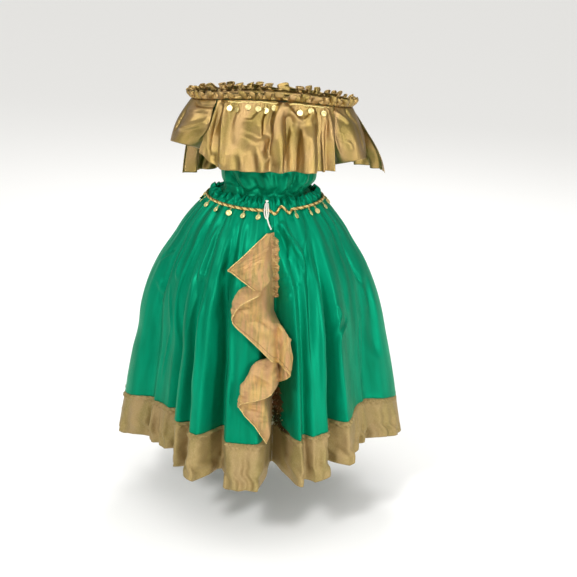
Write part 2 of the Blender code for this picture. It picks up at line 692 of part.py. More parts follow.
def add_cord(parts, name, points):
    """A round cord along its points."""
    curve = bpy.data.curves.new(name, "CURVE")
    curve.dimensions = "3D"
    curve.bevel_depth = CORD_RADIUS
    curve.bevel_resolution = 2
    curve.use_fill_caps = True
    spline = curve.splines.new("POLY")
    spline.points.add(len(points) - 1)
    for slot, point in zip(spline.points, points):
        slot.co = (*point, 1.0)
    dress(curve, WHITE_CORD)
    parts.objects.link(bpy.data.objects.new(name, curve))


def add_knot(parts, name, centre, size):
    """A small rounded knot."""
    mesh = bpy.data.meshes.new(name)
    shape = bmesh.new()
    bmesh.ops.create_uvsphere(shape, u_segments=10, v_segments=6, radius=1.0)
    bmesh.ops.scale(shape, vec=size, verts=shape.verts)
    shape.to_mesh(mesh)
    shape.free()
    mesh.shade_smooth()
    dress(mesh, WHITE_CORD)
    knot = bpy.data.objects.new(name, mesh)
    knot.location = centre
    parts.objects.link(knot)


def build_tie(parts):
    """The white tie: a knot with one long loop, and one tail that ends in a small knot."""
    add_knot(parts, "tie_knot", on_skirt(KNOT_PLACE), KNOT_SIZE)
    add_cord(parts, "tie_loop", curve_points(TIE_LOOP, TIE_LOOP_POINTS))
    add_cord(parts, "tie_tail", curve_points(TIE_TAIL, TIE_TAIL_POINTS))
    end = on_skirt(TIE_TAIL[-1])
    along = (end - on_skirt(TIE_TAIL[-2])).normalized()
    add_knot(parts, "tie_tip", end + along * (GAP + TIP_SIZE.x), TIP_SIZE)


def main():
    """Build the whole set."""
    parts = start_scene()
    build_bodice(parts)
    build_neck_heading(parts)
    build_flounces(parts)
    build_sleeves(parts)
    build_neck_trim(parts)
    build_skirt(parts)
    build_cascade(parts)
    build_belt(parts)
    build_tie(parts)


main()
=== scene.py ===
"""Looks of a blouse and skirt set of green satin and gold lame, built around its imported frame.

Metres, +Z up, the front faces -Y.  Round the garment an angle of 0 degrees is the middle of the front,
90 the right side as seen from the front, 180 the back and -90 (or 270) the left side.  Every sheet of
cloth is a grid of points whose rows run down and whose columns run towards growing angles.
"""

import logging
import math
from dataclasses import dataclass, field
from enum import Enum
from typing import Sequence

import bpy
import numpy as np
from mathutils import Matrix, Vector


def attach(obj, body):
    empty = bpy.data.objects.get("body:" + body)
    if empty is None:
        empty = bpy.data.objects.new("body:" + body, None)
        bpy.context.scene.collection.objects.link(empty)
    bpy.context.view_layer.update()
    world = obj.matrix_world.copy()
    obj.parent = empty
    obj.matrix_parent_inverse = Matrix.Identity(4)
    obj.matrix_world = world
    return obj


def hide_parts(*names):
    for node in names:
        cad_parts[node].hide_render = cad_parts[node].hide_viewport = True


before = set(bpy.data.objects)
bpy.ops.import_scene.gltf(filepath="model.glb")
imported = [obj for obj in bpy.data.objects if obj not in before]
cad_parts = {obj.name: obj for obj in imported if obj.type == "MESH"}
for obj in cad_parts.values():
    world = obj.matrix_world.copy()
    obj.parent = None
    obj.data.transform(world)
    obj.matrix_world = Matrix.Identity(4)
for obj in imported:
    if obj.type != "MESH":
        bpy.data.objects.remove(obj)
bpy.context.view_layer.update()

Array = np.ndarray
Colour = tuple[float, float, float, float]
Material = bpy.types.Material
Piece = bpy.types.Object
Socket = bpy.types.NodeSocket

LOG = logging.getLogger("blouse_and_skirt")

# The wall of the solids, the gap between pieces, both together, and the finer wall of the cloth here
WALL = 0.0016
GAP = 0.0003
LAYER = WALL + GAP
THIN_WALL = 0.0011


@dataclass(frozen=True)
class Level:
    """One oval section of the garment: its height, half width, depths and sideways shift."""

    z: float
    half_width: float
    front: float
    back: float
    shift: float

    def row(self) -> tuple[float, ...]:
        """Return the sizes as one row of numbers."""
        return (self.z, self.half_width, self.front, self.back, self.shift)


@dataclass(frozen=True)
class Fold:
    """A smooth swelling round the garment, `out` metres at its middle and gone `width` degrees away."""

    at: float
    width: float
    out: float


@dataclass(frozen=True)
class Crease:
    """A soft trough (out below 0) or ridge along a smooth line.

    Each table says what a place on its sheet is; its second number is always in metres.  `lean` widens
    the side towards growing angles, and `fades` are the shares of its length in which its ends die away.
    """

    places: tuple[tuple[float, float], ...]
    width: float
    out: float
    lean: float = 0.0
    fades: tuple[float, float] = (0.3, 0.3)


def ease(value: Array | float) -> Array:
    """Ease from 0 to 1 while the value goes from 0 to 1."""
    value = np.clip(value, 0.0, 1.0)
    return value * value * (3.0 - 2.0 * value)


def bell(away: Array) -> Array:
    """A smooth bell, 1 at 0 and 0 from -1 and 1 outwards."""
    return np.cos(0.5 * math.pi * np.clip(away, -1.0, 1.0)) ** 2


def turned_away(degrees: Array, other: float) -> Array:
    """The angle between places round the garment, from 0 to 180."""
    return np.abs((degrees - other + 180.0) % 360.0 - 180.0)


def swell(folds: Sequence[Fold], degrees: Array) -> Array:
    """The sum of a table of folds.

    Args:
        folds: The table.
        degrees: Angles round the garment.

    Returns:
        How far out the cloth lies at each angle, in metres.
    """
    total = np.zeros(np.shape(degrees))
    for fold in folds:
        total += fold.out * bell(turned_away(degrees, fold.at) / fold.width)
    return total


def wander(value: Array, seed: float) -> Array:
    """A slow uneven swing between about -1 and 1 that never quite repeats."""
    return (0.5 * np.sin(value + 1.7 * seed)
            + 0.3 * np.sin(2.3 * value + 4.1 * seed)
            + 0.2 * np.sin(4.7 * value + 2.9 * seed))


def gathered(degrees: Array, count: float, seed: float, uneven: float) -> Array:
    """Uneven gathers round the garment.

    Args:
        degrees: Angles round the garment.
        count: Gathers in a whole turn.
        seed: A number that sets where they are wide and narrow.
        uneven: How much their spacing varies.

    Returns:
        Heights from 0 in a gather to 1 on its crest, some lower than others.
    """
    turn = np.radians(degrees)
    swing = np.sin(3.0 * turn + seed) + 0.7 * np.sin(8.0 * turn + 2.1 * seed)
    swing = swing + 0.5 * np.sin(17.0 * turn + 1.3 * seed)
    depth = 0.75 + 0.17 * np.sin(11.0 * turn + seed) + 0.08 * np.sin(29.0 * turn)
    return depth * (0.5 + 0.5 * np.cos(count * turn + uneven * swing))


class Sections:
    """Smooth oval sections through a table of levels that runs from the top down."""

    def __init__(self, levels: Sequence[Level]) -> None:
        """Keep the table as rows of numbers."""
        self.rows = np.array([level.row() for level in levels])

    def at(self, z: Array) -> Array:
        """The section at each height.

        Args:
            z: Heights in metres.

        Returns:
            Half width, front, back and shift along the last axis.
        """
        z = np.asarray(z, float)
        heights = self.rows[:, 0]
        last = len(heights) - 1
        place = np.clip(np.searchsorted(-heights, -z, side="left") - 1, 0, last - 1)
        top, low = self.rows[place], self.rows[place + 1]
        before, after = self.rows[np.maximum(place - 1, 0)], self.rows[np.minimum(place + 2, last)]
        height = low[..., :1] - top[..., :1]
        t = (z[..., None] - top[..., :1]) / height
        rise_in = (low - before) / (low[..., :1] - before[..., :1]) * height
        rise_out = (after - top) / (after[..., :1] - top[..., :1]) * height
        start = (2 * t ** 3 - 3 * t ** 2 + 1) * top + (t ** 3 - 2 * t ** 2 + t) * rise_in
        end = (3 * t ** 2 - 2 * t ** 3) * low + (t ** 3 - t ** 2) * rise_out
        return (start + end)[..., 1:]


def ring_point(section: Array, degrees: Array, out: Array | float, z: Array) -> Array:
    """Points of oval sections, moved out from their outline.

    Args:
        section: Half width, front, back and shift along the last axis.
        degrees: Angles round the garment.
        out: Distances from the outline.
        z: Heights.

    Returns:
        Points, with their coordinates along the last axis.
    """
    angle = np.radians(degrees)
    depth = np.where(np.cos(angle) > 0.0, section[..., 1], section[..., 2])
    x = section[..., 3] + (section[..., 0] + out) * np.sin(angle)
    y = -(depth + out) * np.cos(angle)
    return np.stack(np.broadcast_arrays(x, y, z), axis=-1)


def smooth_line(places: Sequence[Sequence[float]], samples: int) -> Array:
    """A smooth curve through a few places.

    Args:
        places: Points of any size, in order.
        samples: How many points the curve has between two places.

    Returns:
        The points of the curve, one in each row.
    """
    marks = np.array(places, float)
    last = len(marks) - 1
    where = np.linspace(0.0, last, last * samples + 1)
    low = np.minimum(where.astype(int), last - 1)
    t = (where - low)[:, None]
    before, top = marks[np.maximum(low - 1, 0)], marks[low]
    under, after = marks[low + 1], marks[np.minimum(low + 2, last)]
    bend = 2 * before - 5 * top + 4 * under - after + t * (3 * top - before - 3 * under + after)
    return top + 0.5 * t * (under - before + t * bend)


def creased(creases: Sequence[Crease], across: Array, down: Array, size: Array | float) -> Array:
    """Heights of all creases over a sheet.

    Args:
        creases: The table of creases.
        across: Each point's first coordinate, in the creases' own units.
        down: Each point's second coordinate.
        size: Metres in one unit of the first coordinate at each point, and 1 for the second.

    Returns:
        How far out each point lies, in metres.
    """
    total = np.zeros(across.shape)
    size = np.broadcast_to(size, across.shape)
    for crease in creases:
        line = smooth_line(crease.places, 5)
        reach = 2.0 * crease.width
        pad = reach / max(float(size.min()), 1e-6)
        near = ((across > line[:, 0].min() - pad) & (across < line[:, 0].max() + pad)
                & (down > line[:, 1].min() - reach) & (down < line[:, 1].max() + reach))
        if not near.any():
            continue
        u, v, scale = across[near], down[near], size[near]
        best = np.full(u.shape, np.inf)
        along, side = np.zeros(u.shape), np.zeros(u.shape)
        for i, (start, end) in enumerate(zip(line, line[1:])):
            du, dv = (end[0] - start[0]) * scale, end[1] - start[1]
            pu, pv = (u - start[0]) * scale, v - start[1]
            t = np.clip((pu * du + pv * dv) / np.maximum(du * du + dv * dv, 1e-12), 0.0, 1.0)
            away = np.hypot(pu - t * du, pv - t * dv)
            closer = away < best
            best = np.where(closer, away, best)
            along = np.where(closer, (i + t) / (len(line) - 1), along)
            side = np.where(closer, np.sign(pv * du - pu * dv), side)
        width = crease.width * (1.0 + crease.lean * side)
        fade_in, fade_out = crease.fades
        taper = ease(along / max(fade_in, 1e-6) if fade_in else 1.0)
        taper = taper * ease((1.0 - along) / max(fade_out, 1e-6) if fade_out else 1.0)
        total[near] += crease.out * taper * bell(best / width)
    return total


def placed(name: str, data: bpy.types.ID) -> Piece:
    """Add an object with this data to the scene."""
    piece = bpy.data.objects.new(name, data)
    bpy.context.scene.collection.objects.link(piece)
    return piece


@dataclass
class Sheet:
    """A grid of points, which becomes a thin wall of cloth."""

    points: Array
    closed: bool = False

    def sides(self) -> tuple[Array, Array]:
        """The directions down the rows and across the columns at each point."""
        down = np.gradient(self.points, axis=0)
        if self.closed:
            across = 0.5 * (np.roll(self.points, -1, axis=1) - np.roll(self.points, 1, axis=1))
        else:
            across = np.gradient(self.points, axis=1)
        return down, across

    def normals(self) -> Array:
        """Unit normals that point out of the garment."""
        down, across = self.sides()
        normal = np.cross(down, across)
        return normal / np.maximum(np.linalg.norm(normal, axis=-1, keepdims=True), 1e-12)

    def lift(self, heights: Array | float) -> "Sheet":
        """Move each point along its normal by a height in metres."""
        heights = np.broadcast_to(heights, self.points.shape[:2])
        return Sheet(self.points + self.normals() * heights[..., None], self.closed)

    def lengths(self) -> tuple[Array, Array]:
        """Distances in metres, across the middle row and down the middle column."""
        points = self.points
        if self.closed:
            points = np.concatenate([points, points[:, :1]], axis=1)
        middle = points[len(points) // 2]
        column = points[:, points.shape[1] // 2]
        across = np.concatenate([[0.0], np.cumsum(np.linalg.norm(np.diff(middle, axis=0), axis=1))])
        down = np.concatenate([[0.0], np.cumsum(np.linalg.norm(np.diff(column, axis=0), axis=1))])
        return across, down

    def piece(self, name: str, finish: Material) -> Piece:
        """Make the wall of cloth, which grows inwards from the points.

        Args:
            name: The piece's name.
            finish: Its material.

        Returns:
            The new object, with a UV map in metres of cloth.
        """
        rows, columns = self.points.shape[:2]
        faces_across = columns if self.closed else columns - 1
        i, j = np.meshgrid(np.arange(rows - 1), np.arange(faces_across), indexing="ij")
        beside = (j + 1) % columns
        faces = np.stack([i * columns + j, (i + 1) * columns + j,
                          (i + 1) * columns + beside, i * columns + beside], axis=-1)
        mesh = bpy.data.meshes.new(name)
        mesh.from_pydata(self.points.reshape(-1, 3).tolist(), [], faces.reshape(-1, 4).tolist())
        across, down = self.lengths()
        u = np.stack([across[j], across[j], across[j + 1], across[j + 1]], axis=-1)
        v = np.stack([down[i], down[i + 1], down[i + 1], down[i]], axis=-1)
        layer = mesh.uv_layers.new(name="Cloth")
        layer.data.foreach_set("uv", np.stack([u, -v], axis=-1).reshape(-1).astype(np.float32))
        mesh.shade_smooth()
        mesh.materials.append(finish)
        piece = placed(name, mesh)
        solid = piece.modifiers.new("Cloth", "SOLIDIFY")
        solid.thickness = THIN_WALL
        solid.offset = -1.0
        return piece


def settle(piece: Piece, slot: str, *nodes: str) -> Piece:
    """Let a piece ride on the garment, and hide the solids that it stands for."""
    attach(piece, "root")
    if nodes:
        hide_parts(*nodes)
    LOG.info("%s: %d faces", piece.name, len(piece.data.polygons) if piece.type == "MESH" else 0)
    return piece


def sewn(sheet: Sheet, node: str, finish: Material, slot: str) -> Piece:
    """Make the cloth that stands for one solid."""
    return settle(sheet.piece(node + "_cloth", finish), slot, node)


class Nodes:
    """A short way to add nodes to a node tree."""

    def __init__(self, tree: bpy.types.NodeTree) -> None:
        """Keep the tree."""
        self.tree = tree

    def node(self, kind: str, **inputs: object) -> bpy.types.Node:
        """Add a node.

        Args:
            kind: The node's type without its ShaderNode prefix.
            inputs: Values or sockets for its inputs, with _ for a space or as i0, i1 by number, or
                properties of the node.

        Returns:
            The node.
        """
        made = self.tree.nodes.new("ShaderNode" + kind)
        settings = [key for key in inputs if hasattr(made, key) and key not in made.inputs]
        for key in settings:
            setattr(made, key, inputs.pop(key))
        for key, value in inputs.items():
            name = int(key[1:]) if key[:1] == "i" and key[1:].isdigit() else key.replace("_", " ")
            self.plug(value, made.inputs[name])
        return made

    def plug(self, value: object, socket: Socket) -> None:
        """Link a socket, or set its value."""
        if isinstance(value, Socket):
            self.tree.links.new(value, socket)
        else:
            socket.default_value = value

    def ramp(self, value: object, low: float, high: float, start: float = 0.0,
             end: float = 1.0) -> Socket:
        """Stretch a value, so that it goes from start to end while it passes from low to high."""
        return self.node("MapRange", Value=value, From_Min=low, From_Max=high, To_Min=start,
                         To_Max=end).outputs[0]


class Shader(Nodes):
    """A Principled material, with what its patterns need."""

    def __init__(self, name: str) -> None:
        """Start a material with its Principled shader."""
        self.material = bpy.data.materials.new(name)
        self.material.use_nodes = True
        super().__init__(self.material.node_tree)
        self.main = self.tree.nodes["Principled BSDF"]

    def set(self, **inputs: object) -> None:
        """Set or link inputs of the Principled shader, with _ for a space."""
        for key, value in inputs.items():
            self.plug(value, self.main.inputs[key.replace("_", " ")])

    def cloth_place(self, across: float, down: float) -> Socket:
        """The UV map in metres of cloth, multiplied across and down."""
        place = self.node("UVMap", uv_map="Cloth")
        return self.node("Mapping", Vector=place.outputs[0], Scale=(across, down, 1.0)).outputs[0]

    def object_place(self, scale: Sequence[float]) -> Socket:
        """Object coordinates, multiplied."""
        place = self.node("TexCoord")
        return self.node("Mapping", Vector=place.outputs["Object"], Scale=tuple(scale)).outputs[0]

    def noise(self, place: Socket, detail: float) -> Socket:
        """Smooth noise over mapped places."""
        return self.node("TexNoise", Vector=place, Scale=1.0, Detail=detail).outputs[0]

    def math(self, operation: str, a: object, b: object = 0.0) -> Socket:
        """One sum on values."""
        return self.node("Math", operation=operation, i0=a, i1=b).outputs[0]

    def blend(self, share: object, a: object, b: object) -> Socket:
        """Mix two colours."""
        made = self.node("Mix", data_type="RGBA")
        for socket, value in ((made.inputs[0], share), (made.inputs[6], a), (made.inputs[7], b)):
            self.plug(value, socket)
        return made.outputs[2]

    def bump(self, height: object, distance: float, below: object = None) -> Socket:
        """Raise the surface by a height times a distance in metres, on top of another bump."""
        made = self.node("Bump", Height=height, Distance=distance, Strength=1.0)
        if below is not None:
            self.plug(below, made.inputs["Normal"])
        return made.outputs[0]


@dataclass(frozen=True)
class GreenSatin:
    """Glossy green satin with fine threads and a few soft crumples."""

    name: str = "green_satin"
    colour: Colour = (0.0, 0.250, 0.128, 1.0)
    shade: Colour = (0.0, 0.150, 0.072, 1.0)
    gloss: Colour = (0.12, 1.0, 0.62, 1.0)
    roughness: float = 0.37
    uneven_roughness: float = 0.14
    thread: float = 0.00035
    thread_height: float = 0.00003
    tone_scale: tuple[float, float] = (26.0, 3.0)
    grain_scale: tuple[float, float] = (260.0, 9.0)
    grain_height: float = 0.0003
    crumple_scale: tuple[float, float] = (20.0, 9.0)
    crumple_height: float = 0.0018

    def material(self) -> Material:
        """Build the material."""
        shader = Shader(self.name)
        tone = shader.ramp(shader.noise(shader.cloth_place(*self.tone_scale), 3.0), 0.35, 0.65)
        grain = shader.noise(shader.cloth_place(*self.grain_scale), 3.0)
        rough = shader.ramp(grain, 0.35, 0.65, self.roughness, self.roughness + self.uneven_roughness)
        shader.set(Base_Color=shader.blend(tone, self.shade, self.colour), Roughness=rough)
        per_metre = 1.0 / self.thread
        threads = shader.node("TexWave", Vector=shader.cloth_place(per_metre, 0.25 * per_metre),
                              Scale=0.3, Distortion=1.0)
        crumple = shader.noise(shader.cloth_place(*self.crumple_scale), 1.5)
        height = shader.bump(grain, self.grain_height, shader.bump(crumple, self.crumple_height))
        shader.set(Normal=shader.bump(threads.outputs[0], self.thread_height, height))
        shader.set(Metallic=0.35, Specular_IOR_Level=0.35, Specular_Tint=self.gloss, Sheen_Weight=0.12,
                   Sheen_Roughness=0.4, Sheen_Tint=self.gloss)
        return shader.material


@dataclass(frozen=True)
class Lame:
    """Woven metal cloth, with its threads and glitter, and painted light in its colour: random patches of
    pinkish painted reflection and olive painted shade, and pale streaks of painted sheen.
    """

    name: str = "gold_lame"
    colour: Colour = (0.37, 0.252, 0.076, 1.0)
    # The pinkish colour of painted reflection and the olive colour of painted shade, laid in random patches
    pink_painted_reflection: Colour = (0.40, 0.258, 0.108, 1.0)
    olive_painted_shade: Colour = (0.20, 0.155, 0.035, 1.0)
    roughness: float = 0.29
    metallic: float = 0.94
    glitter: float = 0.0
    thread: float = 0.0009
    thread_height: float = 0.00006
    crumple: float = 0.0006
    crumple_scale: tuple[float, float] = (30.0, 15.0)
    # How strong the pale streaks of painted sheen are, and how fine
    stripes: float = 0.2
    painted_sheen_scale: tuple[float, float] = (330.0, 170.0)
    glitter_scale: float = 520.0
    # Sizes of the random patches of painted reflection and painted shade, across and down
    patches: tuple[float, float] = (13.0, 9.0)
    upright: float = 0.0

    def material(self) -> Material:
        """Build the material."""
        shader = Shader(self.name)
        across, down = self.patches
        if self.upright > 0.0:
            flat = shader.object_place((self.upright, 0.4 * self.upright, down))
            finer = shader.object_place((1.7 * self.upright, 0.5 * self.upright, 0.8 * down))
        else:
            flat, finer = shader.cloth_place(across, down), shader.cloth_place(1.6 * across, 0.8 * down)
        # Random patches of pinkish painted reflection, with olive painted shade over them
        patches = shader.ramp(shader.noise(flat, 2.0), 0.36, 0.64)
        olive_shade_share = shader.ramp(shader.noise(finer, 1.0), 0.45, 0.70, end=0.75)
        gold = shader.blend(olive_shade_share, shader.blend(patches, self.colour, self.pink_painted_reflection), self.olive_painted_shade)
        # Pale streaks of painted sheen, a lighter copy of the pinkish colour
        streaks = shader.noise(shader.cloth_place(*self.painted_sheen_scale), 2.0)
        sheen_lines = shader.ramp(streaks, 0.40, 0.72, end=self.stripes)
        pale = tuple(min(1.0, 1.35 * value + 0.06) for value in self.pink_painted_reflection[:3]) + (1.0,)
        shader.set(Base_Color=shader.blend(sheen_lines, gold, pale))
        turns = 2.0 * math.pi / self.thread
        threads = shader.node("SeparateXYZ", Vector=shader.cloth_place(turns, turns))
        weave = shader.math("MULTIPLY", shader.math("SINE", threads.outputs[0]),
                            shader.math("SINE", threads.outputs[1]))
        crumple = shader.noise(shader.cloth_place(*self.crumple_scale), 2.5)
        height = shader.bump(crumple, self.crumple)
        if self.glitter > 0.0:
            place = shader.cloth_place(self.glitter_scale, self.glitter_scale)
            grain = shader.node("TexVoronoi", Vector=place, Scale=1.0)
            height = shader.bump(grain.outputs["Distance"], self.glitter, height)
        shader.set(Normal=shader.bump(weave, self.thread_height, height), Roughness=self.roughness)
        shader.set(Metallic=self.metallic, Sheen_Weight=0.05, Sheen_Roughness=0.4)
        return shader.material


@dataclass(frozen=True)
class Brass:
    """Bright yellow metal of the coins and braids."""

    name: str = "brass"
    colour: Colour = (0.96, 0.86, 0.42, 1.0)
    worn: Colour = (0.80, 0.64, 0.24, 1.0)
    roughness: float = 0.27
    wear_scale: float = 300.0
    wear_roughness: float = 0.2
    wear_height: float = 0.0001

    def material(self) -> Material:
        """Build the material."""
        shader = Shader(self.name)
        wear = shader.noise(shader.object_place((self.wear_scale,) * 3), 4.0)
        colour = shader.blend(shader.ramp(wear, 0.5, 0.7), self.colour, self.worn)
        rough = shader.math("ADD", shader.math("MULTIPLY", wear, self.wear_roughness), self.roughness)
        shader.set(Base_Color=colour, Metallic=1.0, Roughness=rough)
        shader.set(Normal=shader.bump(wear, self.wear_height))
        return shader.material


@dataclass(frozen=True)
class WhiteCord:
    """Soft white cotton cord."""

    colour: Colour = (0.86, 0.84, 0.77, 1.0)
    shade: Colour = (0.62, 0.60, 0.52, 1.0)
    strand_scale: tuple[float, float, float] = (900.0, 900.0, 350.0)
    strand_height: float = 0.0004

    def material(self) -> Material:
        """Build the material."""
        shader = Shader("white_cord")
        strands = shader.noise(shader.object_place(self.strand_scale), 3.0)
        shader.set(Base_Color=shader.blend(strands, self.shade, self.colour), Roughness=0.8)
        shader.set(Normal=shader.bump(strands, self.strand_height), Sheen_Weight=0.2)
        return shader.material


def made_of(kind: type, *values: object, **named: object) -> Material:
    """A field whose material is made from a kind of cloth or metal."""
    return field(default_factory=lambda: kind(*values, **named).material())


@dataclass
class Finishes:
    """All finishes, each made once."""

    satin: Material = made_of(GreenSatin)
    # A darker copy of the green satin for the bodice: painted shade, as the bodice lies in the flounce's
    # shadow
    bodice: Material = made_of(GreenSatin, "bodice_satin", (0.0, 0.185, 0.086, 1.0),
                               (0.0, 0.120, 0.052, 1.0), roughness=0.33)
    lame: Material = made_of(Lame)
    # In each lamé below, the second colour is painted reflection and the third painted shade, laid in
    # random patches
    cascade: Material = made_of(Lame, "cascade_lame", (0.63, 0.42, 0.140, 1.0), (0.57, 0.33, 0.150, 1.0),
                                (0.32, 0.25, 0.075, 1.0), roughness=0.38, metallic=0.62,
                                glitter=0.0016, stripes=0.3, upright=70.0, patches=(60.0, 14.0))
    hem: Material = made_of(Lame, "hem_lame", (0.31, 0.225, 0.075, 1.0), (0.33, 0.228, 0.092, 1.0),
                            (0.23, 0.18, 0.048, 1.0), roughness=0.58, metallic=0.35,
                            glitter=0.0005, stripes=0.3, crumple=0.0009)
    # Dark brown lamé: the colour of the hem stitches, and painted shade on the strip in the trough below
    # the cascade
    trim: Material = made_of(Lame, "dark_trim", (0.22, 0.11, 0.03, 1.0), (0.30, 0.15, 0.05, 1.0),
                             (0.10, 0.05, 0.01, 1.0), roughness=0.30, metallic=0.8, glitter=0.003)
    brass: Material = made_of(Brass)
    sequin: Material = made_of(Brass, "sequin", (0.98, 0.93, 0.80, 1.0), (0.85, 0.66, 0.38, 1.0), 0.32)
    braid: Material = made_of(Brass, "braid_brass", (0.80, 0.62, 0.26, 1.0), (0.50, 0.33, 0.12, 1.0), 0.34)
    dark: Material = made_of(Brass, "dark_braid", (0.34, 0.21, 0.06, 1.0), (0.16, 0.09, 0.02, 1.0), 0.42)
    cord: Material = made_of(WhiteCord)


# Soft lights: name, place, target, width and height, and power
SOFTBOXES = (
    ("key", (-1.9, -3.0, 2.4), (0.0, 0.0, 0.0), (0.6, 0.8), 88.0),
    ("fill", (1.9, -3.0, 0.3), (0.0, 0.0, -0.35), (0.5, 1.2), 58.0),
    ("back", (0.5, 3.0, 2.6), (0.0, 0.0, -0.2), (1.6, 1.0), 60.0),
)


@dataclass
class Studio:
    """Camera, lights and floor."""

    eye: tuple[float, float, float] = (0.0, -3.4, 0.88)
    pitch: float = 18.90
    yaw: float = 1.333
    roll: float = 2.2
    image: float = 577.0
    focal: float = 1206.9
    sensor: float = 36.0
    floor_height: float = -0.95
    floor_size: float = 80.0
    dome: tuple[float, float] = (0.17, 1.12)
    backdrop: float = 0.80
    air: Colour = (1.0, 0.99, 0.97, 1.0)
    ground: Colour = (0.95, 0.95, 0.94, 1.0)

    def camera(self) -> None:
        """Place the camera where the photograph was taken from."""
        pitch, yaw, roll = (math.radians(a) for a in (self.pitch, self.yaw, self.roll))
        ahead = Vector((math.sin(yaw) * math.cos(pitch), math.cos(yaw) * math.cos(pitch), -math.sin(pitch)))
        level = Vector((math.cos(yaw), -math.sin(yaw), 0.0))
        above = level.cross(ahead)
        right = level * math.cos(roll) + above * math.sin(roll)
        up = above * math.cos(roll) - level * math.sin(roll)
        data = bpy.data.cameras.new("camera")
        data.sensor_width = self.sensor
        data.lens = self.sensor * self.focal / self.image
        camera = placed("camera", data)
        camera.matrix_world = Matrix((right, up, -ahead)).transposed().to_4x4()
        camera.location = self.eye
        bpy.context.scene.camera = camera

    def softbox(self, name: str, place: Sequence[float], target: Sequence[float],
                size: tuple[float, float], power: float) -> None:
        """Add a soft area light.

        Args:
            name: The light's name.
            place: Where it stands.
            target: What it points at.
            size: Its width and height.
            power: Its power in watts.
        """
        data = bpy.data.lights.new(name, "AREA")
        data.shape = "RECTANGLE"
        data.size, data.size_y = size
        data.energy = power
        light = placed(name, data)
        light.location = place
        light.rotation_euler = (Vector(target) - Vector(place)).to_track_quat("-Z", "Y").to_euler()

    def floor(self) -> None:
        """Lay a plain pale floor."""
        half = 0.5 * self.floor_size
        mesh = bpy.data.meshes.new("floor")
        corners = [(-half, -half), (half, -half), (half, half), (-half, half)]
        mesh.from_pydata([(x, y, self.floor_height) for x, y in corners], [], [(0, 1, 2, 3)])
        floor = placed("floor", mesh)
        shader = Shader("pale_floor")
        shader.set(Base_Color=self.ground, Roughness=0.9, Specular_IOR_Level=0.1)
        mesh.materials.append(shader.material)

    def sky(self) -> None:
        """Light the scene from a dome that is brightest overhead, before an even pale backdrop."""
        world = bpy.data.worlds.new("studio")
        world.use_nodes = True
        nodes = Nodes(world.node_tree)
        place = nodes.node("TexCoord").outputs["Generated"]
        height = nodes.node("SeparateXYZ", Vector=place).outputs[2]
        glow = nodes.ramp(height, 0.05, 0.95, *self.dome)
        seen = nodes.node("LightPath").outputs["Is Camera Ray"]
        strength = nodes.node("Mix", Factor=seen, A=glow, B=self.backdrop).outputs[0]
        background = world.node_tree.nodes["Background"]
        nodes.plug(strength, background.inputs["Strength"])
        nodes.plug(self.air, background.inputs["Color"])
        bpy.context.scene.world = world

    def build(self) -> None:
        """Set up the whole studio."""
        self.camera()
        self.floor()
        self.sky()
        bpy.context.scene.view_settings.view_transform = "Standard"
        for light in SOFTBOXES:
            self.softbox(*light)


# The widest outline of the skirt, from its heading down to the hem of its ruffle
SKIRT_LEVELS = (
    Level(0.026, 0.144, 0.121, 0.121, 0.002),
    Level(0.0, 0.167, 0.140, 0.140, 0.001),
    Level(-0.040, 0.205, 0.172, 0.172, 0.0),
    Level(-0.080, 0.236, 0.198, 0.198, 0.0),
    Level(-0.120, 0.260, 0.218, 0.220, 0.0),
    Level(-0.190, 0.304, 0.253, 0.257, -0.001),
    Level(-0.270, 0.339, 0.282, 0.290, -0.001),
    Level(-0.340, 0.359, 0.302, 0.312, 0.001),
    Level(-0.420, 0.373, 0.318, 0.330, 0.005),
    Level(-0.500, 0.391, 0.330, 0.345, 0.005),
    Level(-0.580, 0.406, 0.339, 0.358, 0.006),
    Level(-0.632, 0.414, 0.345, 0.366, 0.007),
    Level(-0.752, 0.436, 0.392, 0.400, 0.009),
)

# Flutes of the skirt at its hem: how far the cloth lies inside its widest outline
SKIRT_FOLDS = (
    Fold(-70.0, 8.0, -0.030),
    Fold(-56.0, 30.0, -0.070),
    Fold(-46.0, 6.0, -0.040),
    Fold(-33.5, 5.0, -0.045),
    Fold(-19.5, 6.5, -0.100),
    Fold(8.0, 9.5, -0.160),
    Fold(20.0, 3.5, -0.035),
    Fold(28.0, 20.0, -0.030),
    Fold(36.0, 6.0, -0.080),
    Fold(60.0, 30.0, -0.080),
    Fold(70.0, 7.0, -0.020),
    Fold(104.0, 9.0, -0.035),
    Fold(124.0, 9.0, -0.060),
    Fold(146.0, 10.0, -0.070),
    Fold(168.0, 9.0, -0.080),
    Fold(190.0, 10.0, -0.065),
    Fold(213.0, 9.0, -0.075),
    Fold(235.0, 9.0, -0.055),
    Fold(256.0, 9.0, -0.035),
)

# The hem hangs a little higher between the front and the sides, and again at the back corners
HEM_RISES = (
    Fold(-58.0, 50.0, 0.030),
    Fold(62.0, 48.0, 0.040),
    Fold(120.0, 40.0, 0.020),
    Fold(235.0, 45.0, 0.020),
)

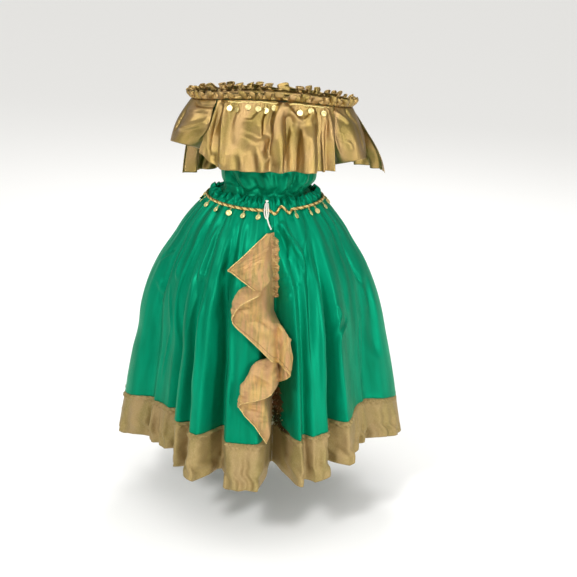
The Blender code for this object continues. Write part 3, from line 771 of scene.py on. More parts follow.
# Creases of the skirt, at an angle and a height
SKIRT_CREASES = (
    Crease(((-59, -0.08), (-58, -0.14), (-58, -0.20), (-54, -0.23)), 0.013, 0.0045, 0.3),
    Crease(((-36, -0.03), (-40, -0.09), (-40, -0.17), (-38, -0.20), (-34, -0.26)), 0.014, -0.007, -0.3),
    Crease(((-29, -0.05), (-27, -0.10), (-26, -0.14), (-23, -0.19)), 0.030, 0.006),
    Crease(((-22, -0.04), (-20, -0.12)), 0.008, 0.003),
    Crease(((-23, -0.08), (-21, -0.19), (-18, -0.33), (-18, -0.48)), 0.012, -0.008, -0.3),
    Crease(((-75, -0.24), (-70, -0.28), (-65, -0.32)), 0.016, 0.004, 0.3),
    Crease(((-62, -0.23), (-55, -0.35), (-58, -0.43), (-60, -0.58)), 0.008, 0.004),
    Crease(((-80, -0.19), (-71, -0.15)), 0.012, -0.004),
    Crease(((-38, -0.185), (-30, -0.195)), 0.012, 0.003),
    Crease(((12, -0.034), (17, -0.07), (22, -0.106), (25, -0.14), (27, -0.20)),
           0.012, 0.012, 0.4, (0.1, 0.4)),
    Crease(((11, -0.04), (14, -0.09), (18, -0.14), (20, -0.20)), 0.021, -0.013, 0.0, (0.15, 0.4)),
    Crease(((38, -0.034), (29, -0.106), (27, -0.166), (26, -0.21), (24, -0.36), (23, -0.52)),
           0.014, -0.008, 0.3),
    Crease(((31, -0.12), (32, -0.24), (30, -0.40), (29, -0.55)), 0.018, 0.005, 0.3),
    Crease(((14, -0.22), (15, -0.226), (13, -0.238)), 0.006, 0.003),
    Crease(((13, -0.204), (16, -0.196), (17, -0.184)), 0.006, 0.003),
    Crease(((10, -0.196), (14, -0.176), (17, -0.160)), 0.006, 0.003),
    Crease(((17, -0.196), (22, -0.200)), 0.006, -0.0025),
    Crease(((70, -0.06), (69, -0.17), (72, -0.22), (74, -0.25)), 0.009, -0.005),
    Crease(((74, -0.25), (75, -0.33)), 0.007, 0.003),
    Crease(((77, -0.21), (76, -0.36), (76, -0.50)), 0.022, -0.008),
    Crease(((40, -0.27), (43, -0.274), (44, -0.30), (41, -0.33), (40, -0.39)), 0.007, 0.004),
    Crease(((49, -0.30), (50, -0.33), (42, -0.36), (41, -0.46), (42, -0.60)), 0.008, 0.0045),
    Crease(((56, -0.08), (53, -0.20), (54, -0.34)), 0.022, -0.005),
    Crease(((67, -0.32), (69, -0.42), (64, -0.56)), 0.009, 0.004),
    Crease(((-8, -0.06), (-9, -0.16), (-7, -0.30), (-8, -0.44)), 0.016, 0.005, 0.2),
    Crease(((-14, -0.03), (-14, -0.10), (-13, -0.20)), 0.010, -0.005),
    Crease(((-50, -0.05), (-49, -0.13), (-50, -0.28), (-47, -0.46)), 0.016, -0.006, 0.2),
    Crease(((-66, -0.10), (-68, -0.24), (-72, -0.42), (-71, -0.58)), 0.020, -0.006, 0.2),
    Crease(((-30, -0.24), (-29, -0.38), (-31, -0.56)), 0.016, 0.006, -0.2),
    Crease(((-12, -0.30), (-12, -0.42), (-12, -0.58)), 0.014, -0.006, 0.2),
    Crease(((106, -0.06), (110, -0.20), (112, -0.40)), 0.016, -0.006),
    Crease(((134, -0.05), (130, -0.18), (136, -0.34), (134, -0.52)), 0.014, 0.006),
    Crease(((158, -0.04), (160, -0.16), (156, -0.30)), 0.014, -0.006),
    Crease(((182, -0.10), (178, -0.26), (180, -0.48)), 0.016, 0.006),
    Crease(((204, -0.05), (206, -0.20), (202, -0.36)), 0.014, -0.006),
    Crease(((226, -0.08), (222, -0.24), (225, -0.44)), 0.016, 0.005),
    Crease(((246, -0.05), (249, -0.18), (246, -0.34), (248, -0.54)), 0.014, -0.006),
)

# Degrees of flat cloth on each side of a seam, and degrees over which its folds then start
SEAM_FLAT = 3.1
SEAM_FADE = 6.0


@dataclass
class Skirt:
    """The green skirt: three panels gathered at the waist, with a frilled heading above the belt."""

    finishes: Finishes
    heading_top: float = 0.026
    hem: float = -0.632
    front_seam: float = 8.0
    side_seam: float = 90.0
    gathers: float = 30.0
    gather_depth: float = 0.008
    fold_onset: float = 0.75
    crease_gain: float = 1.3
    fine_gather: float = 0.0020
    long_gather: float = 0.0032
    unevenness: float = 0.0035
    loop: float = 0.0150
    loop_swell: float = 0.0045
    top_ragged: float = 0.005
    top_gathered: float = 0.006
    hem_pucker: float = 0.0012
    rows_above: int = 14
    rows_down: int = 128
    column: float = 0.66
    back_column: float = 0.90

    def __post_init__(self) -> None:
        """Prepare the smooth sections."""
        self.sections = Sections(SKIRT_LEVELS)

    def panels(self) -> tuple[tuple[str, float, float], ...]:
        """The name of each panel and the angles of its two side edges."""
        side, seam = self.side_seam, self.front_seam
        return ("front_left", -side, seam), ("front_right", seam, side), ("back", side, 360.0 - side)

    def clear_of_seams(self, degrees: Array, flat: float = SEAM_FLAT, fade: float = SEAM_FADE) -> Array:
        """0 on the flat cloth beside a seam, 1 away from it."""
        seams = (self.front_seam, self.side_seam, -self.side_seam)
        nearest = np.min([turned_away(degrees, seam) for seam in seams], axis=0)
        return ease((nearest - flat) / fade)

    def share(self, z: Array) -> Array:
        """0 at the waist and 1 at the hem."""
        return np.clip(z / self.hem, 0.0, 1.0)

    def inside(self, degrees: Array, z: Array) -> Array:
        """How far the cloth lies out from its widest outline: gathers above, flutes at the hem."""
        share = self.share(z)
        wave = 0.5 - 0.5 * np.cos(np.radians((degrees - self.front_seam) * self.gathers))
        depth = self.gather_depth * (1.0 - share) ** 4 * wave * self.clear_of_seams(degrees)
        return swell(SKIRT_FOLDS, degrees) * ease(share) ** self.fold_onset - depth

    def point(self, degrees: Array, z: Array, out: Array | float = 0.0) -> Array:
        """Points on the outside of the skirt, before its hem is lifted."""
        degrees, z = np.broadcast_arrays(np.asarray(degrees, float), np.asarray(z, float))
        return ring_point(self.sections.at(z), degrees, self.inside(degrees, z) + out, z)

    def front_depth(self, x: Array, z: Array) -> Array:
        """The depth of the skirt's front at places across it."""
        section = self.sections.at(z)
        degrees = np.zeros(np.shape(x))
        for _ in range(12):
            reach = section[..., 0] + self.inside(degrees, z)
            degrees = np.degrees(np.arcsin(np.clip((x - section[..., 3]) / reach, -0.9, 0.9)))
        return self.point(degrees, z)[..., 1]

    def relief(self, degrees: Array, z: Array) -> Array:
        """Creases and fine gathers over the main form.

        Args:
            degrees: Angles of the points.
            z: Their heights.

        Returns:
            Heights along the normals, in metres.
        """
        share = self.share(z)
        size = np.radians(1.0) * self.sections.at(z)[..., 1]
        clear = self.clear_of_seams
        turned = (degrees + 180.0) % 360.0 - 180.0
        heights = self.crease_gain * creased(SKIRT_CREASES, turned, z, size)
        fine = gathered(degrees, 88.0, 0.7, 1.6) - 0.5
        heights += self.fine_gather * fine * np.exp(-np.abs(z) / 0.035) * clear(degrees, 0.5, 2.0)
        long = gathered(degrees + 3.0 * wander(9.0 * z, 0.3), 34.0, 1.9, 2.2) - 0.5
        heights += self.long_gather * long * np.exp(-share / 0.40) * clear(degrees, 0.5, 3.0)
        drift = wander(np.radians(degrees) * 9.0 + 3.0 * z, 0.4) * wander(11.0 * z, 1.3)
        heights += self.unevenness * drift * ease(share * 3.0) * clear(degrees, 0.5, 4.0)
        return heights * ease((z - self.hem) / 0.03) + self.loops(degrees, z)

    def heading_gathers(self, degrees: Array, rise: Array | float) -> Array:
        """The gathers of the heading above the belt, which lean over as they rise from 0 to 1."""
        tilt = 5.0 * wander(np.radians(degrees) * 5.0, 0.6) * rise
        return gathered(degrees + tilt, 46.0, 1.2, 2.4)

    def loops(self, degrees: Array, z: Array) -> Array:
        """How far the gathered heading above the belt puffs out."""
        rise = np.maximum(z, 0.0) / self.heading_top
        puff = np.sqrt(self.heading_gathers(degrees, rise)) - 0.62
        rounded = self.loop_swell * np.sin(math.pi * rise ** 0.8)
        clear = self.clear_of_seams(degrees, 0.3, 1.5)
        return (self.loop * puff + rounded) * ease(rise * 1.5) * clear

    def build_panel(self, name: str, first: float, last: float) -> None:
        """Make one panel from its heading to its hem."""
        column = self.back_column if name == "back" else self.column
        angles = np.linspace(first, last, round((last - first) / column) + 1)
        above = np.linspace(self.heading_top, 0.0, self.rows_above + 1)[:-1]
        heights = np.concatenate([above, self.hem * np.linspace(0.0, 1.0, self.rows_down) ** 1.15])
        degrees, z = np.meshgrid(angles, heights)
        sheet = Sheet(self.point(degrees, z)).lift(self.relief(degrees, z))
        sheet.points[..., 2] += swell(HEM_RISES, degrees) * self.share(z) ** 2
        ragged = self.top_ragged * wander(np.radians(degrees) * 31.0, 0.9) - self.top_gathered
        ragged = ragged + self.top_gathered * self.heading_gathers(degrees, 1.0)
        sheet.points[..., 2] += ragged * np.maximum(z, 0.0) / self.heading_top
        pucker = self.hem_pucker * gathered(degrees, 130.0, 1.5, 2.0)
        sheet.points[..., 2] += pucker * ease((self.hem + 0.02 - z) / 0.02)
        piece = sewn(sheet, "skirt_" + name, self.finishes.satin, "green_satin")

    def build(self) -> None:
        """Make the three panels."""
        for name, first, last in self.panels():
            self.build_panel(name, first, last)


@dataclass
class HemRuffle:
    """The gold ruffle round the hem, gathered into a lumpy seam."""

    finishes: Finishes
    skirt: Skirt
    top: float = -0.632
    low: float = -0.752
    waves: float = 40.0
    wave: float = 0.0045
    seam_puff: float = 0.0062
    gather: float = 0.0035
    long_wave: float = 0.010
    broad_wave: float = 0.007
    spread: float = 0.15
    tuck: float = 0.006
    inward: float = 0.0028
    column: float = 0.36
    rows_down: int = 40

    def sheet(self, first: float, last: float) -> Sheet:
        """The ruffle's cloth between two angles."""
        angles = np.linspace(first, last, round((last - first) / self.column) + 1)
        degrees, share = np.meshgrid(angles, np.linspace(0.0, 1.0, self.rows_down) ** 1.3)
        start = self.top + self.tuck
        z = start + (self.low - start) * share
        clear = self.skirt.clear_of_seams(degrees, 0.65 * SEAM_FLAT, 0.5 * SEAM_FADE)
        flutes = swell(SKIRT_FOLDS, degrees) * (1.0 + self.spread * share ** 2)
        wave = self.wave * np.sqrt(share) * np.cos(np.radians(degrees * self.waves)) * clear
        section = self.skirt.sections.at(np.minimum(z, self.top))
        points = ring_point(section, degrees, flutes + wave, z + swell(HEM_RISES, degrees))
        under = ease((self.top + 0.001 - z) / 0.007)
        fine = gathered(degrees + 1.2 * wander(30.0 * share, 0.2), 190.0, 0.9, 2.4)
        puff = bell((share - 0.11) / 0.10) * (0.0015 + self.seam_puff * fine)
        gather = self.gather * (fine - 0.4) * np.exp(-share / 0.20)
        long = gathered(degrees + 2.0 * wander(4.0 * share, 0.5), 74.0, 1.2, 2.0) - 0.5
        small = 0.0012 * wander(np.radians(degrees) * 60.0 + 9.0 * share, 0.2) * wander(11.0 * share, 0.7)
        broad = wander(np.radians(degrees) * 17.0 + 0.8 * share, 1.7)
        loose = (self.long_wave * long + self.broad_wave * broad) * ease(share * 1.3)
        lift = (gather + puff + loose + small) * np.maximum(clear, 0.15)
        points[..., 2] += (0.0025 * long + 0.005 * broad - 0.003) * share ** 2 * clear
        return Sheet(points).lift(lift * under - self.inward * (1.0 - under))

    def build(self) -> None:
        """Make the three lengths of ruffle."""
        for name, first, last in self.skirt.panels():
            piece = sewn(self.sheet(first, last), "hem_ruffle_" + name, self.finishes.hem, "gold_lame")


@dataclass(frozen=True)
class Sweep:
    """One row of the cascade ruffle, from the seam past two bends to its free edge.

    Each place is its distance right of the middle, its height and how far it stands off the skirt.
    """

    seam: float
    body: tuple[float, float, float]
    turn: tuple[float, float, float]
    edge: tuple[float, float, float]


# The cascade swings left, right and left again, and each swing is folded over behind the next
CASCADE = (
    Sweep(-0.060, (0.016, -0.060, 0.004), (0.013, -0.060, 0.005), (0.010, -0.060, 0.006)),
    Sweep(-0.085, (0.000, -0.090, 0.012), (-0.022, -0.098, 0.013), (-0.045, -0.108, 0.012)),
    Sweep(-0.102, (-0.010, -0.112, 0.018), (-0.046, -0.128, 0.018), (-0.085, -0.145, 0.013)),
    Sweep(-0.108, (-0.012, -0.120, 0.020), (-0.052, -0.138, 0.020), (-0.095, -0.155, 0.014)),
    Sweep(-0.114, (-0.012, -0.125, 0.022), (-0.050, -0.143, 0.022), (-0.086, -0.158, 0.016)),
    Sweep(-0.128, (-0.010, -0.138, 0.028), (-0.040, -0.156, 0.026), (-0.064, -0.170, 0.020)),
    Sweep(-0.152, (0.000, -0.160, 0.032), (-0.018, -0.174, 0.032), (-0.036, -0.186, 0.026)),
    Sweep(-0.172, (0.010, -0.180, 0.032), (0.000, -0.192, 0.034), (-0.008, -0.205, 0.031)),
    Sweep(-0.190, (-0.030, -0.186, 0.008), (-0.080, -0.188, 0.010), (-0.028, -0.217, 0.036)),
    Sweep(-0.206, (-0.050, -0.204, 0.006), (-0.108, -0.216, 0.012), (-0.052, -0.229, 0.036)),
    Sweep(-0.222, (-0.058, -0.226, 0.006), (-0.112, -0.250, 0.014), (-0.067, -0.246, 0.030)),
    Sweep(-0.240, (-0.040, -0.250, 0.012), (-0.084, -0.272, 0.016), (-0.078, -0.272, 0.022)),
    Sweep(-0.258, (0.000, -0.262, 0.024), (-0.040, -0.282, 0.028), (-0.073, -0.290, 0.020)),
    Sweep(-0.276, (0.036, -0.276, 0.026), (0.010, -0.292, 0.034), (-0.042, -0.314, 0.026)),
    Sweep(-0.296, (0.076, -0.296, 0.020), (0.060, -0.306, 0.036), (-0.009, -0.340, 0.034)),
    Sweep(-0.320, (0.098, -0.320, 0.022), (0.092, -0.330, 0.042), (0.036, -0.376, 0.048)),
    Sweep(-0.340, (0.094, -0.338, 0.026), (0.098, -0.358, 0.048), (0.074, -0.404, 0.058)),
    Sweep(-0.348, (0.090, -0.350, 0.026), (0.094, -0.372, 0.050), (0.085, -0.414, 0.061)),
    Sweep(-0.356, (0.070, -0.360, 0.022), (0.080, -0.380, 0.044), (0.080, -0.422, 0.058)),
    Sweep(-0.374, (0.020, -0.376, 0.012), (0.030, -0.386, 0.028), (0.066, -0.434, 0.052)),
    Sweep(-0.394, (-0.026, -0.376, 0.008), (-0.036, -0.392, 0.020), (0.050, -0.452, 0.046)),
    Sweep(-0.422, (-0.048, -0.414, 0.008), (-0.066, -0.442, 0.022), (0.024, -0.474, 0.042)),
    Sweep(-0.452, (-0.060, -0.456, 0.010), (-0.080, -0.478, 0.024), (-0.014, -0.490, 0.036)),
    Sweep(-0.472, (-0.050, -0.478, 0.012), (-0.074, -0.494, 0.022), (-0.044, -0.501, 0.028)),
    Sweep(-0.482, (-0.042, -0.488, 0.014), (-0.062, -0.505, 0.022), (-0.054, -0.510, 0.024)),
    Sweep(-0.490, (-0.030, -0.496, 0.016), (-0.048, -0.512, 0.022), (-0.050, -0.518, 0.022)),
    Sweep(-0.506, (-0.004, -0.510, 0.020), (-0.026, -0.526, 0.022), (-0.036, -0.538, 0.022)),
    Sweep(-0.538, (0.018, -0.540, 0.020), (0.002, -0.554, 0.022), (-0.010, -0.566, 0.022)),
    Sweep(-0.568, (0.030, -0.570, 0.016), (0.018, -0.584, 0.018), (0.010, -0.596, 0.018)),
    Sweep(-0.592, (0.036, -0.598, 0.012), (0.030, -0.610, 0.014), (0.026, -0.620, 0.015)),
)

# Folds of the cascade, at a row of the table above and a distance from the free edge
CASCADE_CREASES = (
    Crease(((2.0, 0.02), (1.6, 0.06), (1.2, 0.09)), 0.012, 0.004),
    Crease(((4.5, 0.01), (4.0, 0.05), (3.0, 0.09)), 0.012, -0.004),
    Crease(((5.8, 0.02), (5.2, 0.05), (4.4, 0.08)), 0.010, 0.004),
    Crease(((9.0, 0.02), (11.0, 0.028), (13.5, 0.03)), 0.010, 0.004),
    Crease(((10.0, 0.06), (12.0, 0.07), (14.0, 0.07)), 0.014, -0.005),
    Crease(((13.0, 0.10), (15.0, 0.10), (17.0, 0.08)), 0.014, 0.005),
    Crease(((19.0, 0.03), (19.4, 0.06), (19.6, 0.09)), 0.010, -0.006),
    Crease(((20.0, 0.02), (20.4, 0.05), (20.6, 0.08)), 0.010, 0.007),
    Crease(((21.0, 0.03), (21.3, 0.05), (21.5, 0.08)), 0.010, -0.006),
    Crease(((22.0, 0.02), (22.2, 0.04), (22.3, 0.06)), 0.009, 0.004),
    Crease(((25.0, 0.01), (25.8, 0.03), (26.6, 0.05)), 0.010, -0.006),
    Crease(((26.4, 0.01), (27.0, 0.03), (27.6, 0.04)), 0.009, 0.005),
)


@dataclass(frozen=True)
class Strip:
    """A gathered strip that stands along the front seam, between two heights.

    It starts `before` metres left of the seam and puffs out by `puff`.  At its lower end it is wider by
    the share `widen`, and its left side stands off by `climb`, over the cloth of the ruffle.
    """

    top: float
    end: float
    width: float
    before: float
    puff: float
    widen: float = 0.0
    climb: float = 0.0


@dataclass
class Cascade:
    """The ruffle that swings to and fro down the front seam, and the ruched strip beside it."""

    finishes: Finishes
    skirt: Skirt
    seam_lift: float = 0.0006
    reach: tuple[float, float] = (0.0035, 0.031)
    rows_per_sweep: int = 12
    columns: int = 44
    row_height: float = 0.022
    flutter: float = 0.0022
    edge_flutter: float = 0.0012
    gather: float = 0.0016
    hem_width: float = 0.009
    stitch: float = 0.0016
    stitch_depth: float = 0.0009
    roll: float = 0.0012
    thread: float = 0.0006
    thread_lift: float = 0.0002
    heading: Strip = Strip(-0.062, -0.240, 0.020, 0.010, 0.0062, climb=0.0070)
    trough: Strip = Strip(-0.44, -0.640, 0.014, 0.004, 0.0035, widen=1.6)
    strip_row: float = 0.0009
    strip_lift: float = 0.0012
    strip_crumple: float = 0.004
    strip_columns: int = 10
    sequins: int = 110
    sequin: float = 0.0031
    sequin_lift: float = 0.0016
    sequin_corners: int = 8

    def sheet(self) -> Sheet:
        """The ruffle's cloth, from its free edge to the seam."""
        table = [(s.seam, *s.body, *s.turn, *s.edge) for s in CASCADE]
        rows = smooth_line(table, self.rows_per_sweep)
        share = np.linspace(1.0, 0.0, self.columns + 1)[None, :]
        seam_z = rows[:, [0]]
        seam_x = self.skirt.point(np.full(seam_z.shape, self.skirt.front_seam), seam_z)[..., 0]
        shares = ((1.0 - share) ** 3, 3.0 * share * (1.0 - share) ** 2,
                  3.0 * share ** 2 * (1.0 - share), share ** 3)
        starts = (seam_x, seam_z, np.full(seam_z.shape, self.seam_lift))
        x, z, lift = (sum(weight * value for weight, value in
                          zip(shares, (starts[k], rows[:, [1 + k]], rows[:, [4 + k]], rows[:, [7 + k]])))
                      for k in range(3))
        reach = self.reach[0] + self.reach[1] * ease(3.0 * share)
        depth = np.min([self.skirt.front_depth(x + reach * k / 3.0, z) for k in range(-3, 4)], axis=0)
        sheet = Sheet(np.stack([x, depth - lift - WALL, z], axis=-1))
        steps = np.linalg.norm(np.diff(sheet.points, axis=1), axis=-1)
        from_edge = np.concatenate([np.zeros((len(rows), 1)), np.cumsum(steps, axis=1)], axis=1)
        along = np.arange(len(rows))[:, None] / self.rows_per_sweep
        flutter = self.flutter * wander(1.9 * along + 1.5 * share, 0.6) * ease(2.0 * share)
        flutter += self.edge_flutter * wander(7.0 * along, 1.4) * share ** 2
        rows_at = np.broadcast_to(along, from_edge.shape)
        folds = creased(CASCADE_CREASES, rows_at, from_edge, self.row_height)
        seam_line = -self.stitch_depth * bell((from_edge - self.hem_width) / self.stitch)
        gathers = self.gather * wander(26.0 * along, 0.3) * bell(share / 0.35) * ease(8.0 * share)
        return sheet.lift(flutter + folds + seam_line + gathers)

    def ruched(self, strip: Strip) -> Sheet:
        """The cloth of a gathered strip."""
        length = strip.top - strip.end
        heights = np.linspace(strip.top, strip.end, round(length / self.strip_row))[:, None]
        across = np.linspace(0.0, 1.0, self.strip_columns + 1)[None, :]
        radius = self.skirt.sections.at(heights)[..., 1]
        coarse = wander(heights * 240.0, 0.8)
        fine = wander(heights * 560.0 + 4.0 * across, 1.9)
        taper = ease((strip.top - heights) / 0.03 + 0.2)
        grow = 1.0 + strip.widen * (strip.top - heights) / length
        reach = strip.width * grow * taper * (1.0 + 0.14 * coarse + 0.05 * fine)
        degrees = self.skirt.front_seam + np.degrees((reach * across - strip.before) / radius)
        arch = np.sin(math.pi * np.clip(across, 0.02, 0.98))
        rumpled = 1.0 + 0.5 * wander(heights * 330.0 + 2.0 * across, 0.5) + 0.45 * fine
        puff = self.strip_lift + strip.puff * arch * rumpled
        puff = puff + strip.climb * ease(1.0 - 1.4 * across) * ease((heights - strip.end) / 0.03)
        crumple = self.strip_crumple * wander(heights * 200.0 + 5.0 * across, 0.2) * arch
        return Sheet(self.skirt.point(degrees, heights + crumple, puff))

    def hem_lines(self, sheet: Sheet) -> None:
        """Lay the rolled hem and a row of stitches along the free edge."""
        edge = sheet.points[:, 0]
        settle(strand("cascade_hem_roll", edge, self.roll, self.finishes.braid), "gold_lame")
        row = sheet.lift(self.thread_lift).points[:, 2]
        settle(strand("cascade_hem_stitches", row, self.thread, self.finishes.trim), "gold_lame")

    def glitter(self, trough: Sheet) -> None:
        """Scatter small sequins over the strip in the trough, more of them towards the hem."""
        normals = trough.normals()
        rows, columns = trough.points.shape[:2]
        turns = [2.0 * math.pi * corner / self.sequin_corners for corner in range(self.sequin_corners)]
        down_step, across_step = 0.618034, 0.414214
        verts, faces = [], []
        for k in range(self.sequins):
            i = int((rows - 1) * (1.0 - (k * down_step % 1.0) ** 1.6))
            j = int((columns - 1) * (0.1 + 0.8 * (k * across_step % 1.0)))
            normal = Vector(normals[i, j])
            middle = Vector(trough.points[i, j]) + normal * self.sequin_lift
            tilt = Vector((math.sin(3.1 * k), 0.6, math.cos(2.3 * k)))
            facing = (normal + 0.5 * tilt).normalized()
            side = facing.orthogonal().normalized()
            other = facing.cross(side)
            faces.append(tuple(range(len(verts), len(verts) + self.sequin_corners)))
            verts.extend(middle + self.sequin * (math.cos(a) * side + math.sin(a) * other) for a in turns)
        mesh = bpy.data.meshes.new("trough_sequins")
        mesh.from_pydata(verts, [], faces)
        mesh.materials.append(self.finishes.sequin)
        settle(placed("trough_sequins", mesh), "brass")

    def build(self) -> None:
        """Make the ruffle, its ruched strip, and the strip in the trough below it, dark brown as painted
        shade.
        """
        sheet = self.sheet()
        piece = sewn(sheet, "cascade_ruffle", self.finishes.cascade, "gold_lame")
        self.hem_lines(sheet)
        heading = self.ruched(self.heading)
        piece = sewn(heading, "cascade_heading", self.finishes.cascade, "gold_lame")
        trough = self.ruched(self.trough)
        # The strip in the trough is dark brown: painted shade, with sequins over it
        piece = trough.piece("trough_strip_painted_shade", self.finishes.trim)
        settle(piece, "gold_lame")
        self.glitter(trough)


# The bodice, from the neckline down to its end inside the skirt
NECK = Level(0.294, 0.2255, 0.105, 0.105, 0.0125)

BODICE_LEVELS = (
    NECK,
    Level(0.245, 0.200, 0.112, 0.108, 0.010),
    Level(0.190, 0.168, 0.114, 0.106, 0.008),
    Level(0.110, 0.139, 0.110, 0.104, 0.007),
    Level(0.055, 0.136, 0.112, 0.106, 0.010),
    Level(0.026, 0.121, 0.104, 0.100, 0.002),
    Level(0.008, 0.146, 0.122, 0.118, 0.0),
    Level(-0.012, 0.1665, 0.1385, 0.1385, 0.0),
    Level(-0.045, 0.173, 0.145, 0.145, 0.0),
)

# Creases of the bodice, at an angle and a height
BODICE_CREASES = (
    Crease(((-62, 0.095), (-60, 0.05), (-66, 0.012)), 0.014, 0.007),
    Crease(((-52, 0.095), (-46, 0.055), (-36, 0.030), (-24, 0.012)), 0.012, -0.011, 0.3),
    Crease(((-38, 0.090), (-30, 0.055), (-18, 0.030)), 0.010, 0.009),
    Crease(((-22, 0.085), (-14, 0.045), (-4, 0.018)), 0.011, -0.010),
    Crease(((-8, 0.095), (-2, 0.06), (2, 0.025)), 0.010, 0.008),
    Crease(((8, 0.100), (10, 0.06), (12, 0.020)), 0.009, -0.010),
    Crease(((22, 0.095), (20, 0.06), (18, 0.025)), 0.010, 0.008),
    Crease(((36, 0.10), (32, 0.06), (28, 0.02)), 0.011, -0.011),
    Crease(((52, 0.10), (48, 0.07), (40, 0.045), (38, 0.02)), 0.013, 0.009),
    Crease(((64, 0.09), (58, 0.05), (52, 0.02)), 0.010, -0.009),
    Crease(((-70, 0.05), (-30, 0.036), (10, 0.046)), 0.008, -0.004),
    Crease(((20, 0.066), (45, 0.046), (75, 0.056)), 0.009, -0.004),
    Crease(((110, 0.09), (120, 0.03)), 0.012, -0.006),
    Crease(((150, 0.10), (158, 0.03)), 0.012, 0.006),
    Crease(((185, 0.09), (176, 0.03)), 0.012, -0.006),
    Crease(((220, 0.10), (212, 0.03)), 0.014, 0.006),
    Crease(((250, 0.08), (244, 0.03)), 0.012, -0.006),
)


@dataclass
class Blouse:
    """The bodice, with the shape of its neckline and raglan edges."""

    finishes: Finishes
    underarm: float = 0.190
    neck_side_drop: float = 0.022
    neck_tilt: float = 0.005
    neck_back_drop: float = 0.012
    side_seam: float = 90.0
    sleeve_front: tuple[float, float] = (42.0, 49.0)
    sleeve_back: float = 132.0
    raglan_bend: float = 0.5
    seam_allowance: float = 2.2
    waist_gather: float = 0.0009
    cut: tuple[float, float] = (0.42, 0.36)
    rows_above: int = 30
    rows_below: int = 56
    columns: int = 80

    def __post_init__(self) -> None:
        """Prepare the smooth sections."""
        self.sections = Sections(BODICE_LEVELS)
        self.neck = np.array(NECK.row()[1:])

    def neck_height(self, degrees: Array) -> Array:
        """The neckline's height: highest at the front, lower over the arms."""
        angle = np.radians(degrees)
        drop = self.neck_side_drop * np.sin(angle) ** 2 + self.neck_tilt * np.sin(angle)
        return NECK.z - drop - self.neck_back_drop * np.maximum(-np.cos(angle), 0.0) ** 2

    def raglan_angle(self, neck_angle: Array | float, share: Array | float) -> Array:
        """The angle of the raglan edge, share 0 at the underarm and 1 at the neckline."""
        return self.side_seam + (neck_angle - self.side_seam) * np.asarray(share, float) ** self.raglan_bend

    def panel(self, back: bool) -> Sheet:
        """The front or the back of the bodice, cut away for the sleeves above the underarm."""
        left, right = (self.sleeve_back, self.sleeve_back) if back else self.sleeve_front
        up = np.linspace(1.0, 0.0, self.rows_above)
        down = np.linspace(self.underarm, BODICE_LEVELS[-1].z, self.rows_below)[1:]
        across = np.linspace(0.0, 1.0, self.columns + 1)[None, :]
        share = np.concatenate([up, np.zeros(len(down))])[:, None]
        if back:
            first, last = self.raglan_angle(right, share), 360.0 - self.raglan_angle(left, share)
        else:
            first, last = -self.raglan_angle(left, share), self.raglan_angle(right, share)
        under_sleeve = self.seam_allowance * ease(share / 0.08)
        first, last = first - under_sleeve, last + under_sleeve
        degrees = first + (last - first) * across
        above = self.underarm + (NECK.z - self.underarm) * share
        level = np.concatenate([above[:self.rows_above], down[:, None]])
        level = np.broadcast_to(level, degrees.shape)
        top = self.underarm + (self.neck_height(degrees) - GAP - self.underarm) * share
        z = np.where(share > 0.0, top, level)
        sheet = Sheet(ring_point(self.sections.at(level), degrees, 0.0, z))
        turned = degrees if back else (degrees + 180.0) % 360.0 - 180.0
        heights = creased(BODICE_CREASES, turned, z, np.radians(1.0) * 0.11)
        edge = ease(10.0 * np.minimum(across, 1.0 - across))
        gather = gathered(degrees, 64.0, 1.1, 1.8) - 0.5
        heights += self.waist_gather * gather * np.exp(-np.abs(z - 0.028) / 0.02) * edge
        return sheet.lift(np.where(z > 0.0, heights, 0.0))

    def build(self) -> None:
        """Make the front and the back."""
        for name in ("front", "back"):
            sheet = self.panel(name == "back")
            # The bodice wears the darker copy of the satin: painted shade
            piece = sewn(sheet, "bodice_" + name, self.finishes.bodice, "green_satin")


# The sections at the flounces' hems, and the folds there
FRONT_FLOUNCE_LEVEL = Level(0.104, 0.262, 0.158, 0.158, 0.008)
BACK_FLOUNCE_LEVEL = Level(0.078, 0.300, 0.160, 0.180, 0.040)

FRONT_FLOUNCE_FOLDS = (
    Fold(-34.0, 5.0, -0.012),
    Fold(-19.0, 7.0, -0.008),
    Fold(0.5, 6.5, -0.018),
    Fold(9.0, 4.0, 0.006),
    Fold(17.0, 5.5, -0.020),
    Fold(31.0, 4.0, -0.014),
    Fold(40.0, 4.5, -0.018),
)
BACK_FLOUNCE_FOLDS = (
    Fold(110.0, 6.0, -0.020),
    Fold(126.0, 7.0, -0.026),
    Fold(146.0, 8.0, -0.022),
    Fold(165.0, 7.0, -0.028),
    Fold(184.0, 8.0, -0.024),
    Fold(204.0, 8.0, -0.028),
    Fold(223.0, 7.0, -0.022),
    Fold(241.0, 7.0, -0.024),
)

